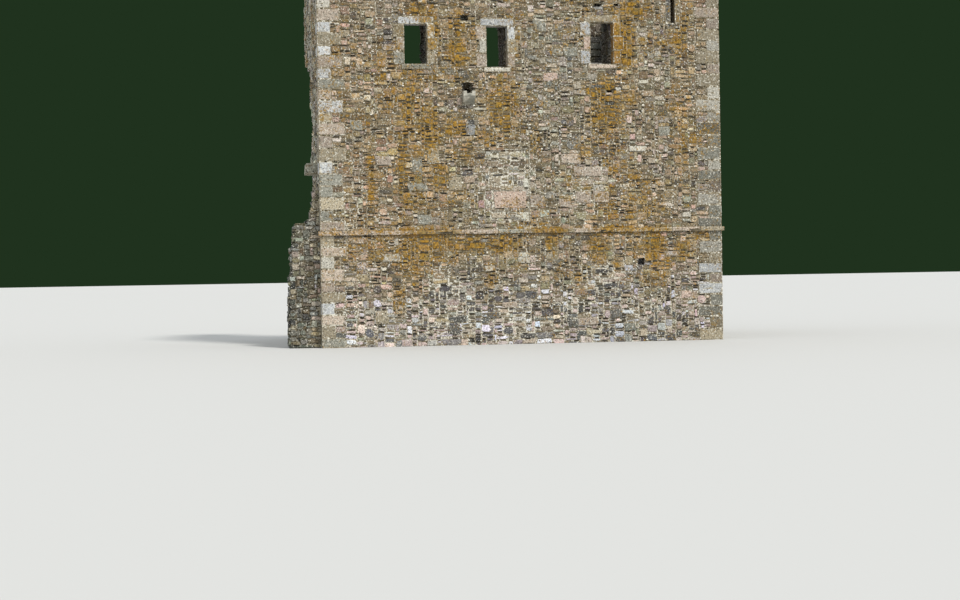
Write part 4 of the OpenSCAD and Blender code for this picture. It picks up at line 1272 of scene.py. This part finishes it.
class KEEP_OT_vault(bpy.types.Operator):
    """Lays the stones of the cellar vault: its rows, its broken end and its top"""
    bl_idname = "keep.vault"
    bl_label = "Cellar vault"

    def execute(self, context):
        stones = context.scene.keep_stones
        rng = draws(70)
        low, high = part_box("cellar_vault")
        middle, half, rise = (low[1] + high[1]) / 2, (high[1] - low[1]) / 2, VAULT_CROWN - low[2]
        radius = (half ** 2 + rise ** 2) / (2 * rise)
        axis_z = VAULT_CROWN - radius
        foot = math.atan2(low[2] - axis_z, half)
        turn = (math.pi - 2 * foot) / VAULT_ROWS
        ends = [low[0]] * VAULT_ROWS
        for name, offset, t in FACES[0, -1]:
            if name == "cellar_vault":
                angle = math.atan2(t[:, 2].mean() - axis_z, middle - t[:, 1].mean())
                ends[int(np.clip((angle - foot) // turn, 0, VAULT_ROWS - 1))] = offset
        # the curved underside is laid out flat, x along it and v up and over
        arc = radius * turn
        mask = np.zeros((int(arc * VAULT_ROWS / CELL) + 2, int((high[0] - low[0]) / CELL) + 1), bool)
        for row, end in enumerate(ends):
            first, last = int(row * arc / CELL) + 1, int((row + 1) * arc / CELL)
            mask[first:last, int((end - low[0]) / CELL) + 1:-1] = True
        heap = Masonry()
        for column, row, w, h in lay_rubble(mask, rng, stones.stone_length * 1.7, stones.stone_height * 1.15):
            gap = stones.joint * rng.uniform(0.3, 0.8, 4)
            box = (low[0] + column * CELL + gap[0], row * CELL + gap[1],
                   low[0] + (column + w) * CELL - gap[2], (row + h) * CELL - gap[3])
            pattern = one_of(rng, kit()["rubble"])
            flat, _flip = put_stone(rng, pattern, 2, 1, 1.0, box, rng.uniform(0.012, 0.034))
            angle, reach = foot + flat[:, 1] / radius, radius - (flat[:, 2] - 1.0)
            y, z = middle - reach * np.cos(angle), axis_z + reach * np.sin(angle)
            places = np.stack([flat[:, 0], y, z], axis=1)
            heap.add(pattern, places, stone_colour(rng, "inner", places.mean(0)), True, 0.0)
        heap.build("vault_row_stones", kit()["core"], "vault_stone")
        lay_walls("vault_end_stones", ["cellar_vault"], lambda a, s, o: (a, s) == (0, -1),
                  "inner", kit()["core"], "vault_stone", scale=1.3, proud=0.034, seed=71)
        lay_walls("vault_top_stones", ["cellar_vault"], lambda a, s, o: (a, s) == (2, 1),
                  "floor", kit()["core"], "vault_stone", scale=2.0, proud=0.022, seed=72, least=3)
        finish_node("cellar_vault", kit()["grey_mortar"])
        finish_node("cellar_floor", kit()["earth"])
        return {"FINISHED"}


class KEEP_OT_yard_wall(bpy.types.Operator):
    """Lays the rough stones of the broken yard wall"""
    bl_idname = "keep.yard_wall"
    bl_label = "Yard wall stub"

    def execute(self, context):
        lay_walls("yard_wall_stones", ["yard_wall_stub"], lambda a, s, o: True,
                  "stub", kit()["core"], "core_rubble", proud=0.060, seed=30)
        finish_node("yard_wall_stub", kit()["grey_mortar"])
        return {"FINISHED"}


# A dressed block is at least this high, and one that lies between these heights is covered by the
# string course
BLOCK_LEAST = 0.03
STRING_LOW, STRING_HIGH = 2.70, 2.88
# Blocks whose ends lie nearer than this touch
TOUCH = 0.012
# How far a dressed stone stands out over its solid, and half of the joint between two of them
BLOCK_OUT = 0.004
BLOCK_GAP = 0.003


class KEEP_OT_dressed_stones(bpy.types.Operator):
    """Models the separate dressed stones of the corners and round the openings"""
    bl_idname = "keep.dressed_stones"
    bl_label = "Dressed stones"

    def execute(self, context):
        rng = draws(40)
        for name in DRESSED:
            heap = Masonry()
            boxes = [b for b in blocks_of(name) if b[1][2] - b[0][2] > BLOCK_LEAST]
            for low, high in boxes:
                if low[2] > STRING_LOW and high[2] < STRING_HIGH:
                    continue
                under = any(abs(b[1][2] - low[2]) < TOUCH for b in boxes)
                over = any(abs(b[0][2] - high[2]) < TOUCH for b in boxes)
                on_ground = low[2] <= 0.01
                below = -BLOCK_GAP if under else 0.0 if on_ground else BLOCK_GAP
                above = -BLOCK_GAP if over else BLOCK_GAP
                before = np.array([BLOCK_OUT, BLOCK_OUT, below])
                behind = np.array([BLOCK_OUT, BLOCK_OUT, above])
                pattern = one_of(rng, kit()["blocks"])
                places = low - before + stretched(pattern["points"], high - low + before + behind)
                places[:, 2] = np.maximum(places[:, 2], 0.0)
                heap.add(pattern, places, block_colour(rng, name, low, high), False, rng.random())
            heap.build(name + "_blocks", kit()["dressed"], "dressed_stone")
            finish_node(name, kit()["grey_mortar"])
        return {"FINISHED"}


# Kinds of string course stone, and how often each comes
STRING_KINDS = ["tan", "pink", "brown", "pale", "grey"]
STRING_SHARES = [0.34, 0.26, 0.16, 0.12, 0.12]
# Least and greatest length of one, and the shortest rest that is worth another
STRING_LONG = (0.32, 0.85)
STRING_LEAST = 0.2


class KEEP_OT_string_course(bpy.types.Operator):
    """Models the worn stones of the string course"""
    bl_idname = "keep.string_course"
    bl_label = "String course"

    def execute(self, context):
        rng = draws(60)
        for name, (axis, side) in zip(STRINGS, OUTER.values()):
            box_low, box_high = corners_of(name).min((0, 1)), corners_of(name).max((0, 1))
            along = 1 - axis
            start, end = box_low[along], box_high[along]
            face = side * (SIDE if axis == 0 else -FRONT)
            out = box_high[axis] - face if side > 0 else face - box_low[axis]
            low, high = box_low[2], box_high[2]
            heap = Masonry()
            while start < end - 0.05:
                length = min(rng.uniform(*STRING_LONG), end - start)
                if end - start - length < STRING_LEAST:
                    length = end - start
                pattern = one_of(rng, kit()["string"])
                p = pattern["points"]
                worn = rng.uniform(-0.010, 0.004)
                places = np.empty_like(p)
                stop = start + length
                places[:, along] = np.interp(p[:, 0], [0, 0.04, 0.96, 1],
                                             [start + 0.004, start + 0.024, stop - 0.024, stop - 0.004])
                places[:, axis] = face + side * (p[:, 1] * (out + 0.006 + worn) - 0.02 * (p[:, 1] <= 0.001))
                places[:, 2] = low - 0.002 + p[:, 2] * (high - low + 0.006) + rng.uniform(-0.003, 0.003)
                kind = rng.choice(STRING_KINDS, p=STRING_SHARES)
                colour = kind_colour(kind, rng.lognormal(0.13, 0.14))
                turned = (axis == 1) == (side > 0)
                heap.add(pattern, places, np.clip(colour, 0.05, 0.85), turned, rng.random())
                start += length
            heap.build(name + "_stones", kit()["worn"], "dressed_stone")
            # the solid under the stones is finished in painted shade, which shows as a dark line below the
            # course
            finish_node(name, kit()["shade"])
        return {"FINISHED"}


class KEEP_OT_infill(bpy.types.Operator):
    """Lays the stones of the walled-up openings of the front"""
    bl_idname = "keep.infill"
    bl_label = "Walled-up openings"

    def execute(self, context):
        lay_walls("infill_stones", ["blocked_doorway_infill", "blocked_loop_infill"],
                  lambda a, s, o: a == 1 and s < 0, "front", kit()["stone"], "rubble", scale=1.1, seed=50,
                  slab=INFILL_SLAB, gaps=0.3)
        for name in ("blocked_doorway_infill", "blocked_loop_infill"):
            finish_node(name, kit()["patch_mortar"])
        return {"FINISHED"}


class KEEP_OT_finishes(bpy.types.Operator):
    """Gives the solids that show their finishes"""
    bl_idname = "keep.finishes"
    bl_label = "Finishes of the solids"

    def execute(self, context):
        for nodes in WALLS.values():
            for name in nodes:
                finish_node(name, kit()["mortar"])
        for name in ("drain_spout", "doorway_arch", "doorway_threshold", "front_joist_corbels",
                     "back_joist_corbels"):
            finish_node(name, kit()["carved"])
        return {"FINISHED"}


# Where the camera stands, how it is turned (yaw, pitch and roll in degrees), and its lens in mm
CAMERA_PLACE = (-7.75, -48.8, 1.8)
CAMERA_TURN = (8.368, -0.879, -0.941)
CAMERA_LENS = 69.3
# The way that the sun's light goes
SUN_TOWARDS = (-0.45, 1.0, -1.2)


class KEEP_OT_stage(bpy.types.Operator):
    """Makes the floor, the light and the camera"""
    bl_idname = "keep.stage"
    bl_label = "Floor, light and camera"

    def execute(self, context):
        settings = context.scene.keep_stage
        deselect()
        bpy.ops.mesh.primitive_plane_add(size=600, location=(0, 60, -0.002))
        floor = context.object
        floor.name = "floor"
        pale = bpy.data.materials.new("plain_floor")
        pale.use_nodes = True
        shader = pale.node_tree.nodes["Principled BSDF"]
        shader.inputs["Base Color"].default_value = (*settings.floor, 1)
        shader.inputs["Roughness"].default_value = 0.9
        floor.data.materials.append(pale)

        world = bpy.data.worlds.new("even_light")
        context.scene.world = world
        world.use_nodes = True
        world.node_tree.nodes.clear()
        s = Shade(world.node_tree)
        light = s.node("ShaderNodeBackground", {"Color": (0.92, 0.96, 1.0, 1), "Strength": settings.sky})
        plain = s.node("ShaderNodeBackground", {"Color": (*settings.backdrop, 1), "Strength": 1.0})
        ray = s.node("ShaderNodeLightPath").outputs["Is Camera Ray"]
        both = s.node("ShaderNodeMixShader", {0: ray, 1: light.outputs[0], 2: plain.outputs[0]})
        out = s.node("ShaderNodeOutputWorld")
        world.node_tree.links.new(both.outputs[0], out.inputs["Surface"])

        bpy.ops.object.light_add(type="SUN", location=(0, -20, 30))
        sun = context.object
        sun.name = "soft_sun"
        sun.data.energy = settings.sun
        sun.data.angle = math.radians(8)
        sun.data.color = (1.0, 0.97, 0.92)
        sun.rotation_euler = Vector(SUN_TOWARDS).to_track_quat("-Z", "Y").to_euler()

        bpy.ops.object.camera_add(location=CAMERA_PLACE)
        camera = context.object
        camera.name = "camera"
        yaw, pitch, roll = (math.radians(v) for v in CAMERA_TURN)
        right = Vector((math.cos(yaw), -math.sin(yaw), 0))
        ahead = Vector((math.sin(yaw) * math.cos(pitch), math.cos(yaw) * math.cos(pitch), math.sin(pitch)))
        up = right.cross(ahead)
        r = math.cos(roll) * right + math.sin(roll) * up
        u = -math.sin(roll) * right + math.cos(roll) * up
        camera.rotation_euler = Matrix((r, u, -ahead)).transposed().to_euler()
        camera.data.sensor_width = 36
        camera.data.lens = CAMERA_LENS
        camera.data.clip_end = 1000
        context.scene.camera = camera
        context.scene.view_settings.view_transform = "Standard"
        return {"FINISHED"}


class KEEP_PT_panel(bpy.types.Panel):
    """The keep's sizes, colours and steps"""
    bl_label = "Keep"
    bl_idname = "KEEP_PT_panel"
    bl_space_type = "VIEW_3D"
    bl_region_type = "UI"
    bl_category = "Keep"

    def draw(self, context):
        layout = self.layout
        for group in (context.scene.keep_stones, context.scene.keep_colours, context.scene.keep_stage):
            box = layout.box()
            for key in group.__annotations__:
                box.prop(group, key)
        for operator in OPERATORS:
            layout.operator(operator.bl_idname)


OPERATORS = (KEEP_OT_finishes, KEEP_OT_front_rubble, KEEP_OT_other_rubble, KEEP_OT_inner_rubble,
             KEEP_OT_vault, KEEP_OT_yard_wall, KEEP_OT_dressed_stones, KEEP_OT_string_course, KEEP_OT_infill,
             KEEP_OT_stage)
CLASSES = (KeepStones, KeepColours, KeepStage, *OPERATORS, KEEP_PT_panel)


def register():
    for cls in CLASSES:
        bpy.utils.register_class(cls)
    bpy.types.Scene.keep_stones = bpy.props.PointerProperty(type=KeepStones)
    bpy.types.Scene.keep_colours = bpy.props.PointerProperty(type=KeepColours)
    bpy.types.Scene.keep_stage = bpy.props.PointerProperty(type=KeepStage)


def unregister():
    del bpy.types.Scene.keep_stones, bpy.types.Scene.keep_colours, bpy.types.Scene.keep_stage
    for cls in reversed(CLASSES):
        bpy.utils.unregister_class(cls)


def main():
    register()
    for operator in OPERATORS:
        getattr(bpy.ops.keep, operator.bl_idname.split(".")[1])()


if __name__ == "__main__":
    main()
